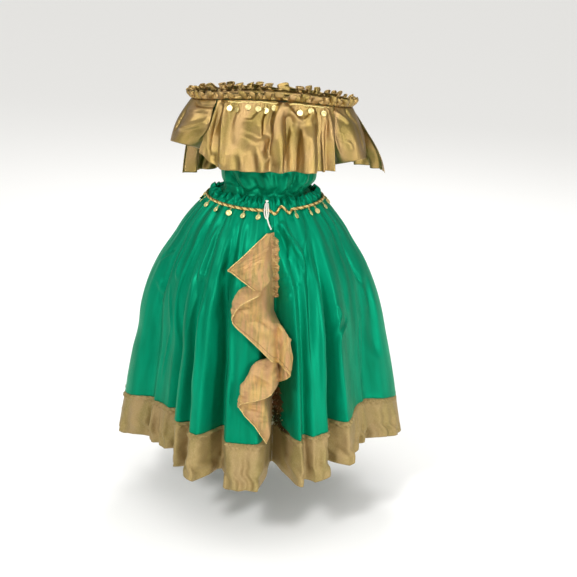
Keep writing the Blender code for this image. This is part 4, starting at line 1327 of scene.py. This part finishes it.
# Creases of the front flounce, at an angle and a distance down
FLOUNCE_CREASES = (
    Crease(((-40, 0.02), (-41, 0.08), (-44, 0.14)), 0.010, 0.004),
    Crease(((-36, 0.01), (-37, 0.05), (-38, 0.10), (-38, 0.17)), 0.008, -0.009, 0.0, (0.1, 0.2)),
    Crease(((-33, 0.0), (-32, 0.08), (-29, 0.185)), 0.010, 0.007, 0.3, (0.1, 0.1)),
    Crease(((-27, 0.01), (-27, 0.07), (-24, 0.15)), 0.013, -0.006),
    Crease(((-21, 0.050), (-12, 0.054), (-8, 0.036), (-1, 0.012)), 0.013, 0.006, 0.3),
    Crease(((-20, 0.078), (-10, 0.088), (-3, 0.104)), 0.020, -0.007),
    Crease(((-20, 0.13), (-17, 0.16), (-16, 0.19)), 0.011, 0.005, 0.0, (0.4, 0.0)),
    Crease(((-11, 0.115), (-10, 0.15), (-8, 0.19)), 0.012, -0.007, 0.2, (0.5, 0.0)),
    Crease(((-4, 0.13), (-3, 0.16), (-2, 0.19)), 0.016, 0.004, 0.0, (0.4, 0.0)),
    Crease(((8, 0.0), (5, 0.03), (4, 0.06), (5, 0.095), (2, 0.14), (-4, 0.175)),
           0.016, 0.016, -0.3, (0.1, 0.4)),
    Crease(((-1, 0.02), (-3, 0.06), (-2, 0.10)), 0.010, -0.009),
    Crease(((11, 0.03), (12, 0.09), (11, 0.19)), 0.013, -0.013, 0.0, (0.2, 0.0)),
    Crease(((17, 0.06), (16, 0.12), (15, 0.19)), 0.012, -0.007, 0.0, (0.3, 0.0)),
    Crease(((10, 0.012), (15, 0.032), (21, 0.055)), 0.010, 0.006, 0.3, (0.1, 0.4)),
    Crease(((31, 0.008), (26, 0.034), (22, 0.055)), 0.010, 0.006, -0.3, (0.1, 0.4)),
    Crease(((17, 0.010), (21, 0.030), (25, 0.010)), 0.013, -0.006),
    Crease(((22, 0.06), (24, 0.12), (24, 0.19)), 0.014, 0.009, -0.3, (0.3, 0.0)),
    Crease(((30, 0.05), (29, 0.12), (30, 0.19)), 0.011, 0.006, 0.3, (0.3, 0.0)),
    Crease(((29, 0.0), (34, 0.014), (36, 0.03), (35, 0.10), (34, 0.19)), 0.010, -0.012, 0.3, (0.05, 0.0)),
    Crease(((39, 0.004), (42, 0.03), (43, 0.06), (42, 0.10)), 0.008, 0.008, 0.0, (0.1, 0.3)),
)


@dataclass
class Flounces:
    """The gold flounce over the chest and the one over the back."""

    finishes: Finishes
    blouse: Blouse
    ease_out: float = 0.0007
    sweep: float = 0.65
    onset: float = 1.3
    lean_left: float = -6.0
    lean_right: float = -3.5
    end_rise: float = 0.040
    rise_from: float = -30.0
    end_drop: float = 0.036
    drop_from: float = 190.0
    back_lean: float = -16.0
    back_wave: float = 0.005
    gather: float = 0.0028
    crease_gain: float = 1.3
    columns_per_degree: float = 2.0
    rows_down: int = 60

    def point(self, degrees: Array, share: Array, folds: Sequence[Fold], hem: Level,
              out: Array | float = 0.0) -> Array:
        """Points of a flounce, share 0 at the neckline and 1 at its hem."""
        top = self.blouse.neck_height(degrees) - GAP
        sweep = (1.0 - self.sweep) * share + self.sweep * np.sin(0.5 * math.pi * share)
        low = np.array(hem.row()[1:])
        section = self.blouse.neck + (low - self.blouse.neck) * np.asarray(sweep)[..., None]
        fold = swell(folds, degrees) * ease(share * self.onset)
        out = WALL + LAYER + self.ease_out + fold + out
        return ring_point(section, degrees, out, top + (hem.z - top) * share)

    def build_one(self, name: str, first: float, last: float, folds: Sequence[Fold], hem: Level,
                  creases: Sequence[Crease]) -> None:
        """Make one flounce.

        Args:
            name: The solid that it stands for.
            first: The angle of its left edge at the neckline.
            last: The angle of its right edge at the neckline.
            folds: Its folds at the hem.
            hem: The section that its hem follows.
            creases: The creases of the front one, and none for the back one.
        """
        front = bool(creases)
        across = np.linspace(0.0, 1.0, round((last - first) * self.columns_per_degree) + 1)
        across, share = np.meshgrid(across, np.linspace(0.0, 1.0, self.rows_down))
        lean = (self.lean_left, self.lean_right) if front else (self.back_lean, 0.0)
        begin = first + lean[0] * ease((share - 0.35) / 0.65)
        end = last + lean[1] * ease(1.5 * share)
        degrees = begin + (end - begin) * across
        points = self.point(degrees, share, folds, hem)
        if front:
            points[..., 2] += self.end_rise * share * ease((self.rise_from - degrees) / 18.0)
        else:
            points[..., 2] -= self.end_drop * share * ease((degrees - self.drop_from) / 40.0)
        sheet = Sheet(points)
        height = NECK.z - hem.z
        heights = self.crease_gain * creased(creases, degrees, share * height, np.radians(1.0) * 0.14)
        gather = gathered(degrees, 120.0, 0.5, 2.4) - 0.5
        edge = ease(12.0 * across) * ease(12.0 * (1.0 - across))
        heights += self.gather * gather * np.exp(-share / 0.12) * ease(0.3 + share * 12.0) * edge
        long = gathered(degrees + 3.0 * wander(3.0 * share, 0.8), 52.0, 1.6, 1.6) - 0.5
        heights += (0.0 if front else self.back_wave) * long * ease(share * 2.0) * edge
        deepest = -0.0008 - 0.12 * share * height
        heights = np.maximum(heights, deepest)
        piece = sewn(sheet.lift(heights), name, self.finishes.lame, "gold_lame")

    def build(self) -> None:
        """Make both flounces."""
        front = self.blouse.sleeve_front
        self.build_one("flounce_front", 1.0 - front[0], front[1] - 1.0, FRONT_FLOUNCE_FOLDS,
                       FRONT_FLOUNCE_LEVEL, FLOUNCE_CREASES)
        self.build_one("flounce_back", 104.0, 249.0, BACK_FLOUNCE_FOLDS, BACK_FLOUNCE_LEVEL, ())


@dataclass(frozen=True)
class Cuff:
    """The open lower edge of a sleeve, and how far below the neckline it is."""

    x: float
    y: float
    z: float
    half_width: float
    half_depth: float
    lean: float
    rise: float
    sleeve_length: float


class Side(Enum):
    """The two sleeves, as seen from the front."""

    LEFT = -1
    RIGHT = 1


CUFFS = {
    Side.LEFT: Cuff(-0.226, -0.018, 0.143, 0.047, 0.050, 0.24, 0.24, 0.16),
    Side.RIGHT: Cuff(0.240, -0.018, 0.112, 0.047, 0.050, 0.24, 0.20, 0.17),
}

# Creases of the sleeves, at a turn round the arm and a distance down
SLEEVE_CREASES = {
    Side.LEFT: (
        Crease(((-30, 0.0), (-60, 0.020), (-88, 0.022), (-112, 0.0)), 0.008, -0.005),
        Crease(((-14, 0.036), (-46, 0.040), (-76, 0.034), (-100, 0.046)), 0.015, 0.004),
        Crease(((-110, 0.030), (-124, 0.07), (-118, 0.13)), 0.009, -0.006),
        Crease(((-34, 0.112), (-60, 0.102), (-88, 0.082), (-108, 0.058)), 0.017, 0.0075, 0.2),
        Crease(((-20, 0.02), (-24, 0.08), (-20, 0.13)), 0.010, -0.004),
        Crease(((30, 0.02), (36, 0.08), (30, 0.13)), 0.010, -0.004),
        Crease(((70, 0.03), (80, 0.08), (70, 0.12)), 0.010, 0.004),
    ),
    Side.RIGHT: (
        Crease(((-128, 0.03), (-98, 0.012), (-76, 0.030), (-60, 0.050)), 0.009, 0.007),
        Crease(((-60, 0.0), (-50, 0.030), (-30, 0.050)), 0.009, -0.006),
        Crease(((-110, 0.06), (-112, 0.10), (-112, 0.14)), 0.008, 0.004),
        Crease(((-84, 0.10), (-76, 0.12), (-80, 0.14)), 0.010, 0.003),
        Crease(((-4, 0.04), (-8, 0.09), (-4, 0.13)), 0.008, -0.004),
        Crease(((-26, 0.03), (-30, 0.09), (-24, 0.14)), 0.010, 0.004),
        Crease(((30, 0.02), (36, 0.08), (30, 0.14)), 0.010, -0.004),
        Crease(((70, 0.03), (80, 0.08), (70, 0.13)), 0.010, 0.004),
    ),
}


@dataclass
class Sleeves:
    """Two short raglan sleeves, open at both ends."""

    finishes: Finishes
    blouse: Blouse
    raglan_lift: float = 0.0021
    puff: float = 0.008
    front_puff: float = 0.012
    inner_puff: float = 0.024
    crease: float = 0.003
    crease_count: int = 6
    gather: float = 0.002
    arm: float = 0.06
    columns: int = 150
    rows_down: int = 40

    def top(self, side: Side, turn: Array) -> Array:
        """The upper edge: over the arm along the neckline, under it along the raglan edges."""
        sign, front = side.value, self.blouse.sleeve_front[0 if side is Side.LEFT else 1]
        back = self.blouse.sleeve_back
        over = sign * (0.5 * (back + front) + 0.5 * (back - front) * turn / 90.0)
        above = ring_point(self.blouse.neck, over, WALL, self.blouse.neck_height(over) - GAP)
        share = np.clip(2.0 - np.abs(turn) / 90.0, 0.0, 1.0)
        under = sign * self.blouse.raglan_angle(np.where(turn > 0.0, back, front), share)
        floor = self.blouse.underarm
        z = floor + (self.blouse.neck_height(under) - GAP - floor) * share
        section = self.blouse.sections.at(floor + (NECK.z - floor) * share)
        below = ring_point(section, under, self.raglan_lift, z)
        return np.where((np.abs(turn) <= 90.0)[..., None], above, below)

    def point(self, side: Side, turn: Array, share: Array) -> Array:
        """Points of a sleeve, turn 0 outside the arm and -90 in front, share 1 at the cuff."""
        cuff, sign = CUFFS[side], side.value
        angle = np.radians(turn)
        across = np.cos(angle) * cuff.half_width
        along = np.sin(angle) * cuff.half_depth
        low = np.stack([cuff.x + sign * across, cuff.y + along,
                        cuff.z + cuff.lean * across - cuff.rise * along], axis=-1)
        top = self.top(side, turn)
        points = top + (low - top) * share[..., None]
        swing = np.sin(math.pi * share)
        crease = self.crease * np.cos(self.crease_count * angle) * swing
        points[..., 0] += sign * (self.puff * swing + crease) * np.maximum(np.cos(angle), 0.0)
        points[..., 1] -= (self.front_puff * swing + crease) * np.maximum(-np.sin(angle), 0.0)
        inner = bell((turn + 125.0) / 62.0) * np.sin(math.pi * share ** 0.8)
        points[..., 0] -= sign * self.inner_puff * 0.55 * inner
        points[..., 1] -= self.inner_puff * 0.8 * inner
        return points

    def build(self) -> None:
        """Make both sleeves."""
        for side, cuff in CUFFS.items():
            name = "sleeve_" + side.name.lower()
            turns = 360.0 * np.arange(self.columns) / self.columns - 180.0
            ordered = turns[::-1] if side is Side.LEFT else turns
            turn, share = np.meshgrid(ordered, np.linspace(0.0, 1.0, self.rows_down))
            sheet = Sheet(self.point(side, turn, share), closed=True)
            down = share * cuff.sleeve_length
            heights = creased(SLEEVE_CREASES[side], turn, down, np.radians(1.0) * self.arm)
            gather = gathered(turn, 46.0, 0.8, 2.0) - 0.5
            over = ease((130.0 - np.abs(turn)) / 30.0)
            heights += self.gather * gather * np.exp(-share / 0.12) * ease(0.3 + share * 10.0) * over
            piece = sewn(sheet.lift(heights), name, self.finishes.lame, "gold_lame")


@dataclass
class NeckHeading:
    """The frill that stands above the elastic of the neckline."""

    finishes: Finishes
    blouse: Blouse
    height: float = 0.028
    flare: float = 0.006
    puffs: int = 46
    puff: float = 0.0095
    gather: float = 0.0018
    loop: float = 0.24
    bulge: float = 0.0045
    curl: float = 0.004
    rumple: float = 0.0026
    ragged: float = 0.0045
    stand_off: float = 0.001
    columns_per_puff: int = 15
    rows_up: int = 16
    rows_inside: int = 9
    fullness: float = 0.0050

    def build(self) -> None:
        """Make the frill as one closed ribbon, folded over at its top into rumpled loops."""
        count = self.puffs * self.columns_per_puff
        angles = 360.0 * np.arange(count) / count
        arc = 0.5 * math.pi * np.linspace(0.12, 1.0, self.rows_inside)
        levels = np.concatenate([np.sin(arc), np.linspace(1.0, 0.0, self.rows_up)[1:], [-0.03, -0.2, -0.5]])
        inside = np.concatenate([self.fullness * np.cos(arc), np.zeros(len(levels) - len(arc))])[:, None]
        degrees, level = np.meshgrid(angles, levels)
        rise = np.maximum(level, 0.0)
        turn = np.radians(degrees)
        phase = self.puffs * turn + 1.5 * np.sin(3.0 * turn) + 1.3 * np.sin(7.0 * turn + 1.0)
        phase = phase + 0.9 * np.sin(13.0 * turn + 2.0) + 0.8 * np.sin(2.6 * rise + 5.0 * turn)
        size = 0.85 + 0.50 * wander(14.0 * turn, 0.3)
        wave = self.gather + (self.puff * size - self.gather) * ease(rise * 1.25)
        loop = (360.0 / self.puffs) * self.loop * ease(rise * 1.5) * np.sin(2.0 * phase + 0.5) * size
        bulge = self.bulge * np.sin(math.pi * rise ** 0.8)
        curl = self.curl * rise ** 3 * wander(23.0 * turn, 1.1)
        rumple = self.rumple * wander(43.0 * turn + 9.0 * rise, 0.5) * wander(8.0 * rise + 17.0 * turn, 0.9)
        out = self.stand_off + WALL + self.flare * rise + bulge + wave * np.cos(phase) + curl
        top = self.ragged * np.cos(phase + 0.9) + self.ragged * wander(17.0 * turn, 0.7) - 0.005
        rounded = rise - 0.10 * rise ** 4
        z = self.blouse.neck_height(degrees) + GAP + self.height * rounded + top * rise ** 1.5
        z = z + self.height * np.minimum(level + 0.03, 0.0)
        out = np.where(level < 0.0, -2.0 * WALL + 0.3 * rumple, out + rumple - inside)
        sheet = Sheet(ring_point(self.blouse.neck, degrees + loop, out, z), closed=True)
        piece = sewn(sheet, "neck_heading", self.finishes.lame, "gold_lame")


def select_only(pieces: Sequence[Piece]) -> None:
    """Select these pieces alone, and make the first one active."""
    bpy.ops.object.select_all(action="DESELECT")
    for piece in pieces:
        piece.select_set(True)
    bpy.context.view_layer.objects.active = pieces[0]


def copied(form: Piece, name: str, place: Matrix) -> Piece:
    """Copy a modelled form with its own mesh, moved into place."""
    piece = placed(name, form.data.copy())
    piece.data.transform(place)
    return piece


def axes_at(place: Array, a: Array, b: Array, c: Array) -> Matrix:
    """A matrix with the three axes a, b and c at a place."""
    return Matrix([[*row] for row in np.column_stack([a, b, c, place]).tolist()] + [[0, 0, 0, 1]])


def joined(name: str, pieces: Sequence[Piece]) -> Piece:
    """Join several pieces into one."""
    select_only(pieces)
    if len(pieces) > 1:
        bpy.ops.object.join()
    pieces[0].name = name
    return pieces[0]


def strand(name: str, line: Array, radius: float, finish: Material, cyclic: bool = False) -> Piece:
    """A round strand along a line of points.

    Args:
        name: The piece's name.
        line: Points in order.
        radius: The strand's radius.
        finish: Its material.
        cyclic: Whether it closes on itself.

    Returns:
        A curve object of one spline with filled ends.
    """
    curve = bpy.data.curves.new(name, "CURVE")
    curve.dimensions = "3D"
    curve.bevel_depth = radius
    curve.bevel_resolution = 2
    curve.use_fill_caps = True
    spline = curve.splines.new("POLY")
    spline.points.add(len(line) - 1)
    for point, place in zip(spline.points, line):
        point.co = (*[float(v) for v in place], 1.0)
    spline.use_cyclic_u = cyclic
    spline.use_smooth = True
    curve.materials.append(finish)
    return placed(name, curve)


# The tie's places: distance right of the middle, height, and how far off the skirt
KNOT_PLACE = (0.0065, 0.0165, 0.0052)
TIE_LOOP = (
    (0.0035, 0.0106, 0.0026),
    (0.0015, 0.0020, 0.0070),
    (0.0005, -0.0100, 0.0072),
    (0.0040, -0.0220, 0.0068),
    (0.0090, -0.0240, 0.0068),
    (0.0115, -0.0120, 0.0070),
    (0.0110, 0.0, 0.0070),
    (0.0095, 0.0106, 0.0026),
)
TIE_TAIL = (
    (0.0065, 0.0120, 0.0054),
    (0.0065, 0.0040, 0.0112),
    (0.0060, -0.0060, 0.0122),
    (0.0085, -0.0200, 0.0116),
    (0.0125, -0.0340, 0.0098),
    (0.0185, -0.0460, 0.0082),
)


@dataclass
class Tie:
    """The white drawstring: a knot, a narrow loop, and one free end with a small knot."""

    finishes: Finishes
    skirt: Skirt
    radius: float = 0.0020
    knot_reach: tuple[float, float, float] = (0.0030, 0.0021, 0.0024)
    knot_radius: float = 0.0019
    tip_reach: tuple[float, float, float] = (0.0017, 0.0013, 0.0017)
    tip_radius: float = 0.0013
    tip_gap: float = 0.0030
    samples: int = 12

    def on_skirt(self, places: Sequence[Sequence[float]]) -> Array:
        """Places over the waist, as points."""
        x, z, lift = np.array(places, float).T
        section = self.skirt.sections.at(z)
        share = np.clip((x - section[:, 3]) / section[:, 0], -1.0, 1.0)
        return np.stack([x, -section[:, 1] * np.sqrt(1.0 - share ** 2) - lift, z], axis=-1)

    def knot(self, name: str, middle: Array, reach: Sequence[float], radius: float) -> Piece:
        """A trefoil knot of cord, drawn tight."""
        turn = np.linspace(0.0, 2.0 * math.pi, 61)[:-1]
        x = (np.sin(turn) + 2.0 * np.sin(2.0 * turn)) / 3.0
        z = (np.cos(turn) - 2.0 * np.cos(2.0 * turn)) / 3.0
        y = -np.sin(3.0 * turn)
        line = middle + np.stack([x * reach[0], y * reach[1], z * reach[2]], axis=-1)
        return strand(name, line, radius, self.finishes.cord, cyclic=True)

    def build(self) -> None:
        """Make the tie: its free end first."""
        tail = smooth_line(self.on_skirt(TIE_TAIL), self.samples)
        piece = strand("tie_tail_cord", tail, self.radius, self.finishes.cord)
        settle(piece, "white_cord", "tie_tail")
        along = (tail[-1] - tail[-2]) / np.linalg.norm(tail[-1] - tail[-2])
        tip = self.knot("tie_tip_knot", tail[-1] + along * self.tip_gap, self.tip_reach, self.tip_radius)
        settle(tip, "white_cord", "tie_tip")
        place = self.on_skirt([KNOT_PLACE])[0]
        knot = self.knot("tie_knot_knot", place, self.knot_reach, self.knot_radius)
        settle(knot, "white_cord", "tie_knot")
        line = smooth_line(self.on_skirt(TIE_LOOP), self.samples)
        loop = strand("tie_loop_cord", line, self.radius, self.finishes.cord)
        settle(loop, "white_cord", "tie_loop")


# Dips and rises of the belt braid beside the tie
BELT_WANDER = (Fold(9.0, 5.0, -0.008), Fold(16.0, 5.0, 0.008), Fold(22.5, 4.0, -0.008))


@dataclass
class Braids:
    """The twisted gold braid at the waist and the finer one under the neckline."""

    finishes: Finishes
    skirt: Skirt
    flounces: Flounces
    middle: float = 0.002
    sag: float = 0.008
    height: float = 0.007
    spread: float = 0.0108
    thickness: float = 0.0054
    lift: float = 0.0004
    pitch: float = 0.021
    steps: int = 1200
    neck_ends: tuple[float, float] = (-34.0, 42.0)
    neck_steps: int = 419
    neck_size: tuple[float, float] = (0.0042, 0.0022)
    neck_pitch: float = 0.008

    def level(self, degrees: Array) -> Array:
        """The height of the belt braid's middle."""
        front = np.maximum(np.cos(np.radians(degrees)), 0.0)
        return self.middle - self.sag * front ** 2 + swell(BELT_WANDER, degrees)

    def twist(self, name: str, middle: Array, degrees: Array, size: tuple[float, float],
              pitch: float, strands: int, finish: Material, cyclic: bool) -> Piece:
        """Strands twisted into a flat upright braid.

        Args:
            name: The piece's name.
            middle: Points of its centre line.
            degrees: Their angles round the garment.
            size: Its height and thickness.
            pitch: The length of one turn of a strand.
            strands: How many strands it has.
            finish: Its material.
            cyclic: Whether it runs all round.

        Returns:
            The joined strands, as one mesh.
        """
        steps = np.linalg.norm(np.diff(middle, axis=0), axis=1)
        along = np.concatenate([[0.0], np.cumsum(steps)])
        turns = along / along[-1] * round(along[-1] / pitch) if cyclic else along / pitch
        angle = np.radians(degrees)
        out = np.stack([np.sin(angle), -np.cos(angle), 0.0 * angle], axis=-1)
        up = np.array([0.0, 0.0, 1.0])
        radius = 0.5 * size[1]
        across = 0.5 * size[0] - radius
        pieces = []
        for k in range(strands):
            phase = 2.0 * math.pi * (turns + k / strands)[:, None]
            line = middle + up * across * np.cos(phase) + out * 0.75 * radius * np.sin(phase)
            own = self.finishes.dark if k == 0 and strands > 2 else finish
            pieces.append(strand(name, line[:-1] if cyclic else line, 0.8 * radius, own, cyclic))
        select_only(pieces)
        bpy.ops.object.convert(target="MESH")
        return joined(name, pieces)

    def build(self) -> None:
        """Make both braids."""
        degrees = np.linspace(-180.0, 180.0, self.steps + 1)
        z = self.level(degrees)
        middle = ring_point(self.skirt.sections.at(z), degrees, self.lift + 0.5 * self.thickness, z)
        belt = self.twist("waist_braid_twist", middle, degrees, (self.spread, self.thickness), self.pitch,
                          3, self.finishes.braid, True)
        settle(belt, "brass", "waist_braid")
        degrees = np.linspace(*self.neck_ends, self.neck_steps + 1)
        share = 0.026 + 0.010 * wander(np.radians(degrees) * 13.0, 0.4)
        middle = self.flounces.point(degrees, share, (), FRONT_FLOUNCE_LEVEL, WALL)
        neck = self.twist("neck_braid_twist", middle, degrees, self.neck_size, self.neck_pitch, 2,
                          self.finishes.brass, False)
        settle(neck, "brass", "neck_braid")


# Angles of the coins on the front
WAIST_COIN_ANGLES = (-78.0, -64.0, -47.0, -32.0, -18.0, -4.6, 28.0, 44.0, 53.5, 72.0)
NECK_COIN_ANGLES = (-29.0, -23.0, -16.0, -9.0, -4.0, 1.5, 12.0, 19.0, 27.0, 37.0)


@dataclass
class Coins:
    """Stamped coins on small links, hung from both braids."""

    finishes: Finishes
    skirt: Skirt
    flounces: Flounces
    braids: Braids
    radius: float = 0.008
    thickness: float = 0.0012
    rim: float = 0.0011
    relief: float = 0.0004
    groove: float = 0.0018
    dome: float = 0.0022
    edge: float = 0.0002
    beads: int = 20
    bead: float = 0.00055
    bead_inset: float = 0.0009
    link_radius: float = 0.0019
    wire: float = 0.00045
    link_pitch: float = 0.0032
    waist_link: float = 0.010
    neck_links: tuple[float, float, float] = (0.003, 0.007, 0.011)
    neck_places: tuple[tuple[float, float], ...] = ((0.042, 0.0016), (0.15, 0.0026))
    swing: float = 0.5
    stand_off: float = 0.0045
    back_coins: int = 13

    def coin_form(self) -> Piece:
        """Model one coin: a disc with a raised rim, a ring of dots and a domed middle."""
        bpy.ops.object.select_all(action="DESELECT")
        bpy.ops.mesh.primitive_cylinder_add(vertices=40, radius=self.radius, depth=self.thickness)
        coin = bpy.context.active_object
        bpy.ops.object.mode_set(mode="EDIT")
        bpy.ops.mesh.select_mode(type="FACE")
        bpy.ops.mesh.select_all(action="DESELECT")
        bpy.ops.object.mode_set(mode="OBJECT")
        for face in coin.data.polygons:
            face.select = face.normal.z > 0.9
        bpy.ops.object.mode_set(mode="EDIT")
        for width, step in ((self.rim, -self.relief), (self.groove, 0.0), (self.relief, self.relief),
                            (self.dome, self.edge)):
            bpy.ops.mesh.inset(thickness=width, depth=step)
        bpy.ops.object.mode_set(mode="OBJECT")
        bevel = coin.modifiers.new("Rounded", "BEVEL")
        bevel.width = self.edge
        bevel.segments = 2
        bevel.limit_method = "ANGLE"
        bpy.ops.object.modifier_apply(modifier=bevel.name)
        bpy.ops.mesh.primitive_ico_sphere_add(subdivisions=1, radius=self.bead)
        bead = bpy.context.active_object
        dots = []
        reach = self.radius - self.rim - self.bead_inset
        for k in range(self.beads):
            turn = 2.0 * math.pi * k / self.beads
            place = (reach * math.cos(turn), reach * math.sin(turn), 0.5 * self.thickness - self.relief)
            dots.append(copied(bead, "bead", Matrix.Translation(place)))
        bpy.data.objects.remove(bead)
        form = joined("coin_form", [coin, *dots])
        select_only([form])
        bpy.ops.object.shade_smooth_by_angle(angle=math.radians(35.0))
        form.data.materials.clear()
        form.data.materials.append(self.finishes.brass)
        return form

    def link_form(self) -> Piece:
        """Model one round wire link."""
        bpy.ops.object.select_all(action="DESELECT")
        bpy.ops.mesh.primitive_torus_add(major_radius=self.link_radius, minor_radius=self.wire,
                                         major_segments=16, minor_segments=6)
        form = bpy.context.active_object
        bpy.ops.object.shade_smooth()
        form.data.materials.append(self.finishes.braid)
        return form

    def hang(self, node: str, hook: Array, fall: Array, degrees: float, link: float,
             forms: tuple[Piece, Piece]) -> None:
        """Hang one coin.

        Args:
            node: The solid that it stands for.
            hook: The point that its links start from.
            fall: The point below, on the cloth, that it hangs towards.
            degrees: Its angle round the garment.
            link: The length of its links.
            forms: The modelled coin and link.
        """
        down = (fall - hook) / np.linalg.norm(fall - hook)
        about = np.array([math.cos(math.radians(degrees)), math.sin(math.radians(degrees)), 0.0])
        out = np.cross(down, about)
        out = out / np.linalg.norm(out)
        side = np.cross(out, down)
        turn = self.swing * math.sin(2.4 * degrees)
        c, s = math.cos(turn), math.sin(turn)
        side, out = side * c + out * s, out * c - side * s
        start = hook + down * GAP + out * (0.5 * self.thickness + self.stand_off * abs(math.sin(turn)))
        coin, ring = forms
        middle = start + down * (link + self.radius)
        pieces = [copied(coin, node + "_coin", axes_at(middle, side, -down, out))]
        count = max(1, round(link / self.link_pitch))
        for k in range(count):
            place = start + down * link * (k + 0.5) / count
            across, through = (side, out) if k % 2 == 0 else (out, -side)
            pieces.append(copied(ring, "link", axes_at(place, across, -down, through)))
        settle(joined(node + "_coin", pieces), "brass", node)

    def build(self) -> None:
        """Hang all coins."""
        forms = (self.coin_form(), self.link_form())
        angles = [*WAIST_COIN_ANGLES, *np.linspace(92.0, 268.0, self.back_coins)]
        for number, degrees in enumerate(angles, 1):
            top = float(self.braids.level(np.array(degrees))) - 0.5 * self.braids.height
            heights = np.array([top, top - self.waist_link - 2.0 * self.radius])
            hook, fall = ring_point(self.skirt.sections.at(heights), degrees, WALL, heights)
            self.hang(f"waist_coin_{number:02d}", hook, fall, float(degrees), self.waist_link, forms)
        for number, degrees in enumerate(NECK_COIN_ANGLES, 1):
            angle = np.array(degrees)
            hook, fall = (self.flounces.point(angle, np.array(share), (), FRONT_FLOUNCE_LEVEL, lift)
                          for share, lift in self.neck_places)
            link = self.neck_links[number % 3]
            self.hang(f"neck_coin_{number:02d}", hook, fall, degrees, link, forms)
        for form in forms:
            bpy.data.objects.remove(form)


def main() -> None:
    """Build every piece in order and report it."""
    logging.basicConfig(level=logging.INFO, format="%(message)s")
    Studio().build()
    finishes = Finishes()
    skirt = Skirt(finishes)
    blouse = Blouse(finishes)
    flounces = Flounces(finishes, blouse)
    braids = Braids(finishes, skirt, flounces)
    assemblies = (Tie(finishes, skirt), skirt, HemRuffle(finishes, skirt), Cascade(finishes, skirt), blouse,
                  flounces, Sleeves(finishes, blouse), NeckHeading(finishes, blouse), braids,
                  Coins(finishes, skirt, flounces, braids))
    for assembly in assemblies:
        assembly.build()
        LOG.info("%s done", type(assembly).__name__)


if __name__ == "__main__":
    main()
